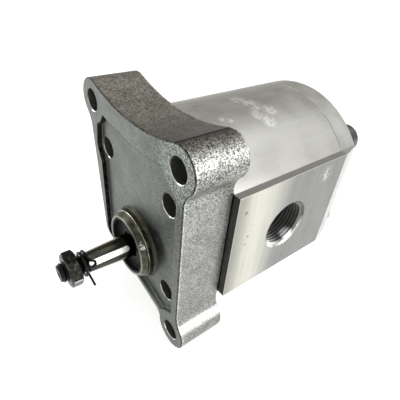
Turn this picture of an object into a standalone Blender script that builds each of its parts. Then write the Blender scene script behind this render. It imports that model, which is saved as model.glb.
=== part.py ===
"""External gear pump with a three-ear mounting flange and a tapered, keyed drive shaft.

The pump is laid out round its drive shaft: x to the right, z up, and y from the flange face (y = 0)
into the body, so the shaft end points along -y. All sizes are in metres. The empty "pump_frame"
moves that layout so that the finished pump stands on z = 0 with its bounding box centred in x and y.
"""

import math

import bmesh
import bpy
from mathutils import Matrix, Vector

# Mounting pattern of the European group 2 flange
EAR_X = 0.0357
EAR_SPACING_Z = 0.0962
SHAFT_ABOVE_LOWER_EARS = 0.0325
EAR_LOW_Z = -SHAFT_ABOVE_LOWER_EARS
EAR_HIGH_Z = EAR_SPACING_Z - SHAFT_ABOVE_LOWER_EARS
EAR_RADIUS = 0.0103
EAR_HOLE_RADIUS = 0.0053
EAR_HOLE_CHAMFER = 0.0006

# Lengths along the shaft axis
COVER_THICKNESS = 0.0255
BODY_LENGTH = 0.075
REAR_THICKNESS = 0.012
SEAM = 0.0003
OVERCUT = 0.001
BODY_START = COVER_THICKNESS + SEAM
BODY_END = COVER_THICKNESS + BODY_LENGTH
REAR_START = BODY_END + SEAM
REAR_END = REAR_START + REAR_THICKNESS

# Front cover
SIDE_X = 0.0400
LEFT_TOP_X = -0.0392
TOP_ARC_RADIUS = 0.1025
SIDE_FILLET = 0.010
FOOT_FILLET = 0.004
CORNER_RADIUS = 0.006
CORNER_CENTRE = (-0.0278, -0.0110)
BOSS_SURROUND = 0.0231
RECESS_DEPTH = 0.0025
RECESS_LEFT_X = -0.0312
EAR_LAND = 0.0112
BOLT_LAND = 0.0066
BOSS_HEIGHT = 0.0045
BOSS_RADIUS = 0.0182
BOSS_LIP_RADIUS = 0.0161
BOSS_NOSE_RADIUS = 0.0176
BOSS_NOSE_END_Y = -0.0016
BOSS_FLARE_RADIUS = 0.0194
BOSS_BORE = 0.0151
SEAL_DEPTH = 0.0070
SHAFT_PASSAGE = 0.0096
SKIRT_RADIUS = 0.0280
SKIRT_Y = 0.012
LUG_RADIUS = 0.0088
RECESS_TOP_MARGIN = 0.0110
RECESS_RIGHT_MARGIN = 0.0045
RECESS_FOOT_MARGIN = 0.0026

# Body and rear cover section
GEAR_SPACING = 0.0312
BODY_Z = GEAR_SPACING / 2
BODY_RADIUS = 0.0505
PAD_X = 0.0441
PAD_TOP_Z = 0.0463
PAD_LOW_Z = -0.0150
REAR_FLAT_X = 0.0404

# Tie bolts and dowels
BOLT_X = 0.0274
BOLT_Z = 0.0151
BOLT_DZ = 0.0265
BOLT_RADIUS = 0.0049
BOLT_HOLE = 0.0053
HOLE_CHAMFER = 0.0005
THREAD_GAP = 0.0003
BOLT_TIP_Y = 0.0085
BLIND_HOLE_Y = 0.0105
BLIND_BOLT_TIP_Y = 0.0115
HEAD_RADIUS = 0.0083
HEAD_HEIGHT = 0.010
HEAD_CHAMFER = 0.0008
SOCKET_ACROSS_FLATS = 0.008
SOCKET_DEPTH = 0.005
WASHER_RADIUS = 0.0098
WASHER_THICKNESS = 0.0022
DOWEL_X = 0.0315
DOWEL_RADIUS = 0.0025
DOWEL_LENGTH = 0.012

# Ports, one in each pad, on the axis of the gear mesh
PORT_Y = COVER_THICKNESS + BODY_LENGTH / 2
INLET_RADIUS = 0.0131
OUTLET_RADIUS = 0.0104
PORT_DEPTH = 0.017
PORT_BORE = 0.0085
PORT_CHAMFER = 0.0009

# Gears
TEETH = 12
MODULE = GEAR_SPACING / TEETH
PRESSURE_ANGLE = math.radians(25)
BACKLASH = 0.0003
TIP_RADIUS = 0.01805
ROOT_RADIUS = 0.01270
BORE_RADIUS = 0.01835
BLOCK_RADIUS = 0.01805
GEAR_WIDTH = 0.032
END_PLAY = 0.0003
GEAR_START = PORT_Y - GEAR_WIDTH / 2
GEAR_END = PORT_Y + GEAR_WIDTH / 2
JOURNAL_RADIUS = 0.0080
JOURNAL_LENGTH = 0.0195
BUSH_BORE = 0.0083
BUSH_RADIUS = 0.0097
BUSH_SEAT = 0.0100
BUSH_INSET = 0.0007

# Drive shaft
SHAFT_TIP_Y = -0.0388
TAPER_START_Y = -0.0258
TAPER_END_Y = -0.0016
TAPER_SMALL_RADIUS = 0.0051
TAPER_LARGE_RADIUS = 0.00626
THREAD_RADIUS = 0.0048
TIP_RADIUS_SHAFT = 0.0042
KEY_ANGLE = math.radians(35)
KEY_WIDTH = 0.003
KEY_FRONT_Y = -0.0259
KEY_REAR_Y = -0.0052
KEY_TOP = 0.0070
KEY_BOTTOM = 0.0030
KEY_GAP = 0.00015

# Shaft end pieces
NUT_ACROSS_FLATS = 0.016
NUT_START_Y = -0.0357
NUT_END_Y = -0.0299
SPRING_WASHER_RADIUS = 0.0064
SPRING_WASHER_BORE = 0.0053
SPRING_WASHER_START_Y = -0.0281
SPRING_WASHER_END_Y = -0.0269
WIRE_RADIUS = 0.00042
WIRE_COIL_RADIUS = 0.0061
WIRE_Y = -0.0256
WIRE_TAIL = 0.0098
WIRE_COIL_START = math.radians(75)
WIRE_COIL_END = math.radians(259)
EYE_Y = -0.0242
EYE_HALF_LENGTH = 0.00145
EYE_HALF_WIDTH = 0.00135
EYE_HEIGHT = 0.00757

# Seals
SEAL_RADIUS = 0.0149
SEAL_LIP_RADIUS = 0.0082
SEAL_FACE_Y = -0.0012
SEAL_RIM_Y = -0.0042
SEAL_RIM = 0.0008
SPRING_COIL_RADIUS = 0.0106
SPRING_WIRE = 0.0009
GROOVE_DEPTH = 0.0020
RING_HEIGHT = 0.0016
BODY_SEAL_RADIUS = 0.0220
BODY_SEAL_WIDTH = 0.0020
BLOCK_GROOVE_RADIUS = 0.0142
BLOCK_GROOVE_WAIST = 0.0060
BLOCK_GROOVE_WIDTH = 0.0042
BLOCK_SEAL_WIDTH = 0.0018
BACKUP_WIDTH = 0.0012
SIDE_CLEARANCE = 0.0002

REAR_MOST_Y = REAR_END + SEAM + WASHER_THICKNESS + SEAM + HEAD_HEIGHT
FRAME_Y = -(SHAFT_TIP_Y + REAR_MOST_Y) / 2
FRAME_Z = EAR_RADIUS - EAR_LOW_Z


# ---------------------------------------------------------------- outlines in the x-z plane


def polar(centre, radius, angle):
    return (centre[0] + radius * math.cos(angle), centre[1] + radius * math.sin(angle))


def arc(centre, radius, start, end, step):
    """Points along an arc, both ends included, at about one point for each step of angle."""
    count = max(1, math.ceil(abs(end - start) / step))
    return [polar(centre, radius, start + (end - start) * i / count) for i in range(count + 1)]


def tangent_angle(first, second):
    """Direction of the straight run that leaves one rounded corner and joins the next."""
    dx = second[0][0] - first[0][0]
    dz = second[0][1] - first[0][1]
    slip = (second[1] - first[1]) / math.hypot(dx, dz)
    return math.atan2(dz, dx) - math.asin(max(-1.0, min(1.0, slip)))


def rounded_outline(corners, step=math.radians(18)):
    """Anticlockwise outline round corners ((x, z), radius): a negative radius is a hollow corner."""
    points = []
    for i, corner in enumerate(corners):
        centre, radius = corner
        arrive = tangent_angle(corners[i - 1], corner)
        leave = tangent_angle(corner, corners[(i + 1) % len(corners)])
        turn = (leave - arrive) % math.tau
        if radius < 0:
            turn -= math.tau
        side = -math.pi / 2 if radius > 0 else math.pi / 2
        local = min(step, math.radians(5)) if abs(radius) > 0.04 else step
        points += arc(centre, abs(radius), arrive + side, arrive + side + turn, local)
    return without_repeats(points)


def without_repeats(points, nearest=0.00002):
    """Drops each point that lies on the one before it."""
    return [p for i, p in enumerate(points) if math.dist(p, points[i - 1]) > nearest]


def hollow_between(first, second, radius):
    """Centre of a hollow arc that touches two rounded corners, on the right of first to second."""
    a = first[1] + radius
    b = second[1] + radius
    start = Vector(first[0])
    along = Vector(second[0]) - start
    length = along.length
    along.normalize()
    run = (a * a - b * b + length * length) / (2 * length)
    across = Vector((along.y, -along.x))
    return tuple(start + along * run + across * math.sqrt(a * a - run * run))


def hollow_on_side(corner, side_x, radius, upward):
    """Centre of a hollow arc that touches a rounded corner and the upright line x = side_x."""
    centre_x = side_x + math.copysign(radius, side_x)
    reach = corner[1] + radius
    rise = math.sqrt(reach * reach - (centre_x - corner[0][0]) ** 2)
    return (centre_x, corner[0][1] + (rise if upward else -rise))


def figure_eight(radius, step=math.radians(10)):
    """Outline round both gear axes where two circles of this radius meet at the waist."""
    waist = math.asin(BODY_Z / radius)
    lower = arc((0, 0), radius, math.pi - waist, math.tau + waist, step)
    upper = arc((0, GEAR_SPACING), radius, -waist, math.pi + waist, step)
    return without_repeats(lower + upper)


def stadium(radius, step=math.radians(15)):
    return rounded_outline([((0, 0), radius), ((0, GEAR_SPACING), radius)], step)


def seal_path():
    """Centre line of the E-shaped groove, round one gear axis, past the waist and round the other."""
    step = math.radians(14)
    waist = math.acos(BLOCK_GROOVE_WAIST / BLOCK_GROOVE_RADIUS)
    tail = math.radians(125)
    upper = arc((0, GEAR_SPACING), BLOCK_GROOVE_RADIUS, tail, -waist, step)
    lower = arc((0, 0), BLOCK_GROOVE_RADIUS, waist, -tail, step)
    return upper + lower


def band(path, low, high):
    """Outline of a strip beside an open path, between two distances to the left of it."""
    edges = ([], [])
    for i, point in enumerate(path):
        here = Vector(point)
        before = (here - Vector(path[max(i - 1, 0)])).normalized()
        after = (Vector(path[min(i + 1, len(path) - 1)]) - here).normalized()
        along = (before + after).normalized()
        stretch = 1 / max(along.dot(before), along.dot(after))
        across = Vector((-along.y, along.x)) * stretch
        for edge, distance in zip(edges, (low, high)):
            edge.append(tuple(here + across * distance))
    return edges[0] + edges[1][::-1]


def cover_outline():
    """Outline of the flange: two upper ears, one lower ear and a plain rounded corner."""
    ear_high_right = ((EAR_X, EAR_HIGH_Z), EAR_RADIUS)
    ear_high_left = ((-EAR_X, EAR_HIGH_Z), EAR_RADIUS)
    ear_low_right = ((EAR_X, EAR_LOW_Z), EAR_RADIUS)
    return rounded_outline([
        ear_low_right,
        (hollow_on_side(ear_low_right, SIDE_X, SIDE_FILLET, True), -SIDE_FILLET),
        (hollow_on_side(ear_high_right, SIDE_X, SIDE_FILLET, False), -SIDE_FILLET),
        ear_high_right,
        (hollow_between(ear_high_right, ear_high_left, TOP_ARC_RADIUS), -TOP_ARC_RADIUS),
        ear_high_left,
        (hollow_on_side(ear_high_left, LEFT_TOP_X, SIDE_FILLET, False), -SIDE_FILLET),
        (CORNER_CENTRE, CORNER_RADIUS),
        ((0, 0), BOSS_SURROUND),
        (polar(ear_low_right[0], EAR_RADIUS + FOOT_FILLET, math.pi), -FOOT_FILLET),
    ])


def recess_outline():
    """Pocket in the flange face: it keeps a rim at the edges and a round land at each ear."""
    high_right = ((EAR_X, EAR_HIGH_Z), EAR_LAND)
    high_left = ((-EAR_X, EAR_HIGH_Z), EAR_LAND)
    low_right = ((EAR_X, EAR_LOW_Z), EAR_LAND)
    ears = [((x, EAR_HIGH_Z), EAR_RADIUS) for x in (EAR_X, -EAR_X)]
    top_radius = TOP_ARC_RADIUS + RECESS_TOP_MARGIN
    top = (hollow_between(ears[0], ears[1], TOP_ARC_RADIUS), top_radius)
    corner = 0.0015
    right = SIDE_X - RECESS_RIGHT_MARGIN - corner
    bolt_high = BOLT_Z + BOLT_DZ
    return rounded_outline([
        (polar(low_right[0], EAR_LAND, math.radians(145)), 0.0003),
        (low_right[0], -EAR_LAND),
        ((right, EAR_LOW_Z + EAR_LAND + 2 * corner), corner),
        ((right, EAR_HIGH_Z - EAR_LAND - 2 * corner), corner),
        (high_right[0], -EAR_LAND),
        (hollow_between(top, high_right, corner), corner),
        (top[0], -top_radius),
        (hollow_between(high_left, top, corner), corner),
        (high_left[0], -EAR_LAND),
        (polar(high_left[0], EAR_LAND + corner, math.radians(-68)), corner),
        ((-BOLT_X, bolt_high), BOLT_LAND),
        ((RECESS_LEFT_X - 0.004, bolt_high - 0.0105), -0.004),
        ((RECESS_LEFT_X + 0.004, CORNER_CENTRE[1]), 0.004),
        ((0, 0), BOSS_SURROUND - RECESS_FOOT_MARGIN),
    ])


def body_outline(flat_x):
    """Round body with a flat port pad on each side, at x = flat_x."""
    top = math.asin((PAD_TOP_Z - BODY_Z) / BODY_RADIUS)
    low = math.asin((PAD_LOW_Z - BODY_Z) / BODY_RADIUS)
    step = math.radians(6)
    over = arc((0, BODY_Z), BODY_RADIUS, top, math.pi - top, step)
    under = arc((0, BODY_Z), BODY_RADIUS, math.pi - low, math.tau + low, step)
    right = [(flat_x, PAD_LOW_Z), (flat_x, PAD_TOP_Z)]
    left = [(-flat_x, PAD_TOP_Z), (-flat_x, PAD_LOW_Z)]
    return over + left + under + right


def hexagon(across_flats):
    return [polar((0, 0), across_flats / math.sqrt(3), math.radians(60 * i)) for i in range(6)]


def involute_angle(radius, base):
    """Polar angle that the involute of this base circle has turned through at this radius."""
    if radius <= base:
        return 0.0
    roll = math.sqrt((radius / base) ** 2 - 1)
    return roll - math.atan(roll)


def gear_outline(turn):
    """Gear with involute flanks, turned by this angle. Angle 0 is the middle of a tooth."""
    pitch = MODULE * TEETH / 2
    base = pitch * math.cos(PRESSURE_ANGLE)
    half = math.pi / (2 * TEETH) - BACKLASH / (4 * pitch) + involute_angle(pitch, base)
    radii = [ROOT_RADIUS, base, pitch, TIP_RADIUS]
    points = []
    for tooth in range(TEETH):
        middle = turn + math.tau * tooth / TEETH
        rise = [polar((0, 0), r, middle - half + involute_angle(r, base)) for r in radii]
        fall = [polar((0, 0), r, middle + half - involute_angle(r, base)) for r in reversed(radii)]
        points += rise + fall
    return points


# ---------------------------------------------------------------- meshes


def finish(bm):
    bmesh.ops.recalc_face_normals(bm, faces=bm.faces)
    return bm


def prism(outline, y_start, y_end):
    """Solid between two planes of constant y with this x-z outline."""
    bm = bmesh.new()
    loops = [[bm.verts.new((x, y, z)) for x, z in outline] for y in (y_start, y_end)]
    bridge(bm, loops[0], loops[1])
    bm.faces.new(loops[0])
    bm.faces.new(loops[1])
    return finish(bm)


def loft(near_outline, far_outline, y_start, y_end):
    """Solid whose outline changes evenly from one plane to the other."""
    bm = bmesh.new()
    near = [bm.verts.new((x, y_start, z)) for x, z in near_outline]
    far = [bm.verts.new((x, y_end, z)) for x, z in far_outline]
    bridge(bm, near, far)
    bm.faces.new(near)
    bm.faces.new(far)
    return finish(bm)


def ring_prism(outer, inner, y_start, y_end):
    """Closed strip between two outlines that have the same number of points."""
    bm = bmesh.new()
    loops = []
    for outline, y in ((outer, y_start), (outer, y_end), (inner, y_end), (inner, y_start)):
        loops.append([bm.verts.new((x, y, z)) for x, z in outline])
    for i in range(4):
        bridge(bm, loops[i], loops[(i + 1) % 4])
    return finish(bm)


def bridge(bm, first, second):
    for i in range(len(first)):
        bm.faces.new((first[i - 1], first[i], second[i], second[i - 1]))


def turned(profile, segments, centre=(0, 0)):
    """Solid of revolution about the y axis through centre. The profile is a closed list of (r, y)."""
    bm = bmesh.new()
    rows = []
    for radius, y in profile:
        if radius == 0:
            rows.append([bm.verts.new((centre[0], y, centre[1]))] * segments)
            continue
        ring = [polar(centre, radius, math.tau * i / segments) for i in range(segments)]
        rows.append([bm.verts.new((x, y, z)) for x, z in ring])
    for row, after in zip(rows, rows[1:] + rows[:1]):
        for i in range(segments):
            corners = [row[i - 1], row[i], after[i], after[i - 1]]
            face = list(dict.fromkeys(corners))
            if len(face) > 2:
                bm.faces.new(face)
    return finish(bm)


def lie_along_x(bm, y, z):
    """Turns a solid of revolution so that its -y end faces +x, with its axis through (y, z)."""
    turn = Matrix.Translation((0, y, z)) @ Matrix.Rotation(math.radians(90), 4, "Z")
    bmesh.ops.transform(bm, matrix=turn, verts=bm.verts)
    return bm


def join_meshes(parts):
    """One mesh that holds several separate closed shapes."""
    bm = bmesh.new()
    for part in parts:
        mesh = bpy.data.meshes.new("part")
        part.to_mesh(mesh)
        part.free()
        bm.from_mesh(mesh)
        bpy.data.meshes.remove(mesh)
    return bm


# ---------------------------------------------------------------- objects


def clear_scene():
    for obj in list(bpy.data.objects):
        bpy.data.objects.remove(obj, do_unlink=True)


def material(name, colour, roughness, metallic):
    mat = bpy.data.materials.new(name)
    mat.use_nodes = True
    shader = mat.node_tree.nodes["Principled BSDF"]
    shader.inputs["Base Color"].default_value = (*colour, 1)
    shader.inputs["Roughness"].default_value = roughness
    shader.inputs["Metallic"].default_value = metallic
    mat.diffuse_color = (*colour, 1)
    return mat


def empty(name, location, parent=None):
    obj = bpy.data.objects.new(name, None)
    obj.location = location
    obj.parent = parent
    bpy.context.scene.collection.objects.link(obj)
    return obj


def solid(name, bm, mat, parent):
    """Object from a mesh that is written in pump coordinates; its origin is its parent's."""
    offset = Vector((0, 0, 0))
    if parent.parent:
        offset = Vector(parent.location)
    bmesh.ops.translate(bm, vec=-offset, verts=bm.verts)
    mesh = bpy.data.meshes.new(name)
    bm.to_mesh(mesh)
    bm.free()
    mesh.materials.append(mat)
    mesh.shade_smooth()
    mesh.set_sharp_from_angle(angle=math.radians(30))
    obj = bpy.data.objects.new(name, mesh)
    obj.parent = parent
    bpy.context.scene.collection.objects.link(obj)
    return obj


def shape_with(obj, name, bm, operation):
    """Adds a helper solid to an object, or cuts it away, with a Boolean."""
    helper = solid(name, bm, obj.data.materials[0], obj.parent)
    helper.hide_render = True
    helper.display_type = "WIRE"
    modifier = obj.modifiers.new(name, "BOOLEAN")
    modifier.operation = operation
    modifier.solver = "EXACT"
    modifier.object = helper


def cut(obj, name, bm):
    shape_with(obj, name, bm, "DIFFERENCE")


def add(obj, name, bm):
    shape_with(obj, name, bm, "UNION")


def bolt_places():
    return [(x, BOLT_Z + dz) for x in (-BOLT_X, BOLT_X) for dz in (BOLT_DZ, -BOLT_DZ)]


def drilled(places, radius, y_start, y_end, chamfer=0.0, segments=16):
    """Cutter for a set of equal holes along y, each with a chamfer at its start."""
    profile = [
        (0, y_start - OVERCUT),
        (radius + chamfer + OVERCUT * (chamfer > 0), y_start - OVERCUT),
        (radius, y_start + chamfer),
        (radius, y_end),
        (0, y_end),
    ]
    return join_meshes([turned(profile, segments, place) for place in places])


def dowel_cutter(seam_y):
    reach = DOWEL_LENGTH / 2 + SEAM
    places = [(-DOWEL_X, BODY_Z), (DOWEL_X, BODY_Z)]
    return drilled(places, DOWEL_RADIUS + SIDE_CLEARANCE, seam_y - reach + OVERCUT, seam_y + reach, 0.0, 12)


def disc_profile(radius, y_start):
    """Disc that ends just short of the cover's back face, with a bevelled front edge."""
    end = COVER_THICKNESS - 0.0004
    return [(0, y_start), (radius - 0.002, y_start), (radius, y_start + 0.003), (radius, end), (0, end)]


def build_front_cover(mat, parent):
    """Casting with the face recess, pilot boss, shaft bore and mounting holes."""
    cover = solid("front_cover", prism(cover_outline(), 0, COVER_THICKNESS), mat, parent)
    cut(cover, "face_recess", prism(recess_outline(), -OVERCUT, RECESS_DEPTH))
    boss = [
        (0, -BOSS_HEIGHT),
        (BOSS_LIP_RADIUS, -BOSS_HEIGHT),
        (BOSS_NOSE_RADIUS, BOSS_NOSE_END_Y),
        (BOSS_RADIUS, BOSS_NOSE_END_Y + 0.0003),
        (BOSS_RADIUS, RECESS_DEPTH - 0.0012),
        (BOSS_FLARE_RADIUS, RECESS_DEPTH),
        (BOSS_FLARE_RADIUS, RECESS_DEPTH + 0.004),
        (0, RECESS_DEPTH + 0.004),
    ]
    add(cover, "pilot_boss", turned(boss, 40))
    lug_corner = (-BOLT_X, BOLT_Z - BOLT_DZ)
    add(cover, "fourth_bolt_lug", turned(disc_profile(LUG_RADIUS, SKIRT_Y), 16, lug_corner))
    add(cover, "rear_skirt", turned(disc_profile(SKIRT_RADIUS, SKIRT_Y), 36))
    bore = [
        (0, -BOSS_HEIGHT - OVERCUT),
        (BOSS_BORE, -BOSS_HEIGHT - OVERCUT),
        (BOSS_BORE, SEAL_FACE_Y + SEAL_DEPTH + SIDE_CLEARANCE),
        (SHAFT_PASSAGE, SEAL_FACE_Y + SEAL_DEPTH + SIDE_CLEARANCE),
        (SHAFT_PASSAGE, COVER_THICKNESS + OVERCUT),
        (0, COVER_THICKNESS + OVERCUT),
    ]
    cut(cover, "shaft_bore", turned(bore, 40))
    ears = [(-EAR_X, EAR_HIGH_Z), (EAR_X, EAR_HIGH_Z), (EAR_X, EAR_LOW_Z)]
    end = COVER_THICKNESS + OVERCUT
    cut(cover, "ear_holes", drilled(ears, EAR_HOLE_RADIUS, 0, end, EAR_HOLE_CHAMFER, 20))
    places = bolt_places()
    through = [place for place in places if place != lug_corner]
    cut(cover, "bolt_holes", drilled(through, BOLT_HOLE, RECESS_DEPTH, end, HOLE_CHAMFER, 16))
    cut(cover, "blind_bolt_hole", drilled([lug_corner], BOLT_HOLE, BLIND_HOLE_Y, end, 0, 16))
    cut(cover, "cover_dowel_holes", dowel_cutter(COVER_THICKNESS))


def port_cutter(radius, side):
    """Threaded port with its chamfer, and the narrower passage to the gears."""
    profile = [
        (0, -PAD_X - OVERCUT),
        (radius + PORT_CHAMFER + OVERCUT, -PAD_X - OVERCUT),
        (radius, -PAD_X + PORT_CHAMFER),
        (radius, -PAD_X + PORT_DEPTH),
        (PORT_BORE, -PAD_X + PORT_DEPTH + 0.0015),
        (PORT_BORE, -0.006),
        (0, -0.006),
    ]
    bm = turned(profile, 28)
    if side < 0:
        bmesh.ops.rotate(bm, cent=(0, 0, 0), matrix=Matrix.Rotation(math.pi, 3, "Z"), verts=bm.verts)
    return lie_along_x(bm, PORT_Y, BODY_Z)


def build_body(mat, parent):
    """Extruded body with the gear chamber, both ports, bolt holes and seal grooves."""
    body = solid("pump_body", prism(body_outline(PAD_X), BODY_START, BODY_END), mat, parent)
    cut(body, "gear_chamber", prism(figure_eight(BORE_RADIUS), BODY_START - OVERCUT, BODY_END + OVERCUT))
    cut(body, "inlet_port", port_cutter(INLET_RADIUS, 1))
    cut(body, "outlet_port", port_cutter(OUTLET_RADIUS, -1))
    cut(body, "body_bolt_holes", drilled(bolt_places(), BOLT_HOLE, BODY_START, BODY_END + OVERCUT))
    cut(body, "front_dowel_holes", dowel_cutter(COVER_THICKNESS))
    cut(body, "rear_dowel_holes", dowel_cutter(BODY_END))
    outer = stadium(BODY_SEAL_RADIUS + BODY_SEAL_WIDTH / 2)
    inner = stadium(BODY_SEAL_RADIUS - BODY_SEAL_WIDTH / 2)
    front = ring_prism(outer, inner, BODY_START - OVERCUT, BODY_START + GROOVE_DEPTH)
    rear = ring_prism(outer, inner, BODY_END - GROOVE_DEPTH, BODY_END + OVERCUT)
    cut(body, "body_seal_grooves", join_meshes([front, rear]))


def build_rear_cover(mat, parent):
    near = body_outline(PAD_X)
    far = body_outline(REAR_FLAT_X)
    cover = solid("rear_cover", loft(near, far, REAR_START, REAR_END), mat, parent)
    cut(cover, "rear_bolt_holes", drilled(bolt_places(), BOLT_HOLE, REAR_START, REAR_END + OVERCUT))
    cut(cover, "rear_cover_dowel_holes", dowel_cutter(BODY_END))


def shaft_profile():
    """Drive shaft from its threaded tip to its rear journal, as (radius, y)."""
    return [
        (0, SHAFT_TIP_Y),
        (TIP_RADIUS_SHAFT, SHAFT_TIP_Y),
        (THREAD_RADIUS, SHAFT_TIP_Y + 0.0008),
        (THREAD_RADIUS, TAPER_START_Y),
        (TAPER_SMALL_RADIUS, TAPER_START_Y),
        (TAPER_LARGE_RADIUS, TAPER_END_Y),
        (JOURNAL_RADIUS, TAPER_END_Y + 0.0016),
        (JOURNAL_RADIUS, GEAR_START + OVERCUT),
        (JOURNAL_RADIUS, GEAR_END + JOURNAL_LENGTH),
        (0, GEAR_END + JOURNAL_LENGTH),
    ]


def key_block(extra, bottom, top):
    """Flat key with round ends, standing in the plane of the shaft axis at the key's angle."""
    half = KEY_WIDTH / 2 + extra
    rear = (0, KEY_REAR_Y + extra - half)
    front = (0, KEY_FRONT_Y - extra + half)
    step = math.radians(18)
    plan = arc(rear, half, 0, math.pi, step) + arc(front, half, math.pi, math.tau, step)
    bm = bmesh.new()
    loops = [[bm.verts.new((x, y, z)) for x, y in plan] for z in (bottom, top)]
    bridge(bm, loops[0], loops[1])
    bm.faces.new(loops[0])
    bm.faces.new(loops[1])
    turn = Matrix.Rotation(math.pi / 2 - KEY_ANGLE, 4, "Y")
    bmesh.ops.transform(bm, matrix=turn, verts=bm.verts)
    return finish(bm)


def build_drive_gear(mat, parent):
    gear = solid("drive_gear", prism(gear_outline(math.pi / 2), GEAR_START, GEAR_END), mat, parent)
    add(gear, "drive_shaft", turned(shaft_profile(), 32))
    cut(gear, "key_seat", key_block(KEY_GAP, KEY_BOTTOM - KEY_GAP, KEY_TOP + 0.0006))


def build_driven_gear(mat, parent):
    turn = math.pi / 2 + math.pi / TEETH
    bm = prism(gear_outline(turn), GEAR_START, GEAR_END)
    bmesh.ops.translate(bm, vec=(0, 0, GEAR_SPACING), verts=bm.verts)
    gear = solid("driven_gear", bm, mat, parent)
    journal = [
        (0, GEAR_START - JOURNAL_LENGTH),
        (JOURNAL_RADIUS, GEAR_START - JOURNAL_LENGTH),
        (JOURNAL_RADIUS, GEAR_END + JOURNAL_LENGTH),
        (0, GEAR_END + JOURNAL_LENGTH),
    ]
    add(gear, "driven_journals", turned(journal, 32, (0, GEAR_SPACING)))


def build_bearing_block(name, y_inner, y_outer, mat, parent):
    """Figure-eight block from its face at the gears to its back, where the seal groove is."""
    start, end = sorted((y_inner, y_outer))
    block = solid(name, prism(figure_eight(BLOCK_RADIUS), start, end), mat, parent)
    places = [(0, 0), (0, GEAR_SPACING)]
    cut(block, name + "_bores", drilled(places, BUSH_SEAT, start, end + OVERCUT, 0.0, 24))
    back = math.copysign(1, y_outer - y_inner)
    edge = sorted((y_outer - back * GROOVE_DEPTH, y_outer + back * OVERCUT))
    half = BLOCK_GROOVE_WIDTH / 2
    cut(block, name + "_groove", prism(band(seal_path(), -half, half), *edge))


def build_block_seals(side, y_back, mats, parent):
    """E-shaped seal and its harder backup strip, side by side in the groove of one block."""
    front = side == "front"
    start = y_back + (SIDE_CLEARANCE if front else -SIDE_CLEARANCE - RING_HEIGHT)
    half = BLOCK_GROOVE_WIDTH / 2 - 2 * SIDE_CLEARANCE
    seal = band(seal_path(), half - BLOCK_SEAL_WIDTH, half)
    strip = band(seal_path(), -half, BACKUP_WIDTH - half)
    solid(side + "_pressure_seal", prism(seal, start, start + RING_HEIGHT), mats["rubber"], parent)
    solid(side + "_backup_ring", prism(strip, start, start + RING_HEIGHT), mats["plastic"], parent)


def build_bushes(mat, parent):
    ends = [
        (BODY_START + BUSH_INSET, GEAR_START - BUSH_INSET),
        (GEAR_END + BUSH_INSET, BODY_END - BUSH_INSET),
    ]
    places = [(end, z) for end in ends for z in (0, GEAR_SPACING)]
    for number, ((start, end), z) in enumerate(places, 1):
        profile = [(BUSH_BORE, start), (BUSH_RADIUS, start), (BUSH_RADIUS, end), (BUSH_BORE, end)]
        solid(f"bush_{number}", turned(profile, 24, (0, z)), mat, parent)


def build_body_seals(mat, parent):
    outer = stadium(BODY_SEAL_RADIUS + BODY_SEAL_WIDTH / 2 - SIDE_CLEARANCE)
    inner = stadium(BODY_SEAL_RADIUS - BODY_SEAL_WIDTH / 2 + SIDE_CLEARANCE)
    front_y = BODY_START + SIDE_CLEARANCE
    rear_y = BODY_END - SIDE_CLEARANCE - RING_HEIGHT
    solid("front_body_seal", ring_prism(outer, inner, front_y, front_y + RING_HEIGHT), mat, parent)
    solid("rear_body_seal", ring_prism(outer, inner, rear_y, rear_y + RING_HEIGHT), mat, parent)


def build_shaft_seal(rubber, steel, parent):
    """Lip seal: outer wall, front face and a lip that runs close round the shaft."""
    face = SEAL_FACE_Y
    profile = [
        (SEAL_LIP_RADIUS + 0.0006, face),
        (SEAL_RADIUS - SEAL_RIM, face),
        (SEAL_RADIUS - SEAL_RIM, SEAL_RIM_Y),
        (SEAL_RADIUS, SEAL_RIM_Y),
        (SEAL_RADIUS, face + SEAL_DEPTH),
        (SEAL_RADIUS - 0.0016, face + SEAL_DEPTH),
        (SEAL_RADIUS - 0.0016, face + 0.0015),
        (SEAL_LIP_RADIUS + 0.0020, face + 0.0015),
        (SEAL_LIP_RADIUS + 0.0012, face + 0.0052),
        (SEAL_LIP_RADIUS, face + 0.0052),
        (SEAL_LIP_RADIUS, face + 0.0040),
    ]
    solid("shaft_seal", turned(profile, 28), rubber, parent)
    coil = [polar((SPRING_COIL_RADIUS, face + 0.0036), SPRING_WIRE / 2, math.tau * i / 5) for i in range(5)]
    solid("seal_spring", turned(coil, 20), steel, parent)


def build_shaft_nut(mat, parent):
    nut = solid("shaft_nut", prism(hexagon(NUT_ACROSS_FLATS), NUT_START_Y, NUT_END_Y), mat, parent)
    bore = THREAD_RADIUS + THREAD_GAP
    cut(nut, "nut_bore", drilled([(0, 0)], bore, NUT_START_Y, NUT_END_Y + OVERCUT, HOLE_CHAMFER, 24))


def build_spring_washer(mat, parent):
    profile = [
        (SPRING_WASHER_BORE, SPRING_WASHER_START_Y),
        (SPRING_WASHER_RADIUS, SPRING_WASHER_START_Y),
        (SPRING_WASHER_RADIUS, SPRING_WASHER_END_Y),
        (SPRING_WASHER_BORE, SPRING_WASHER_END_Y),
    ]
    washer = solid("spring_washer", turned(profile, 24), mat, parent)
    gap = prism([(-0.0004, 0.004), (0.0004, 0.004), (0.0004, 0.008), (-0.0004, 0.008)],
                SPRING_WASHER_START_Y - OVERCUT, SPRING_WASHER_END_Y + OVERCUT)
    turn = Matrix.Rotation(math.radians(-120), 4, "Y")
    bmesh.ops.transform(gap, matrix=turn, verts=gap.verts)
    cut(washer, "washer_split", gap)


def around_shaft(angle, radius, y):
    return Vector((radius * math.cos(angle), y, radius * math.sin(angle)))


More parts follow.
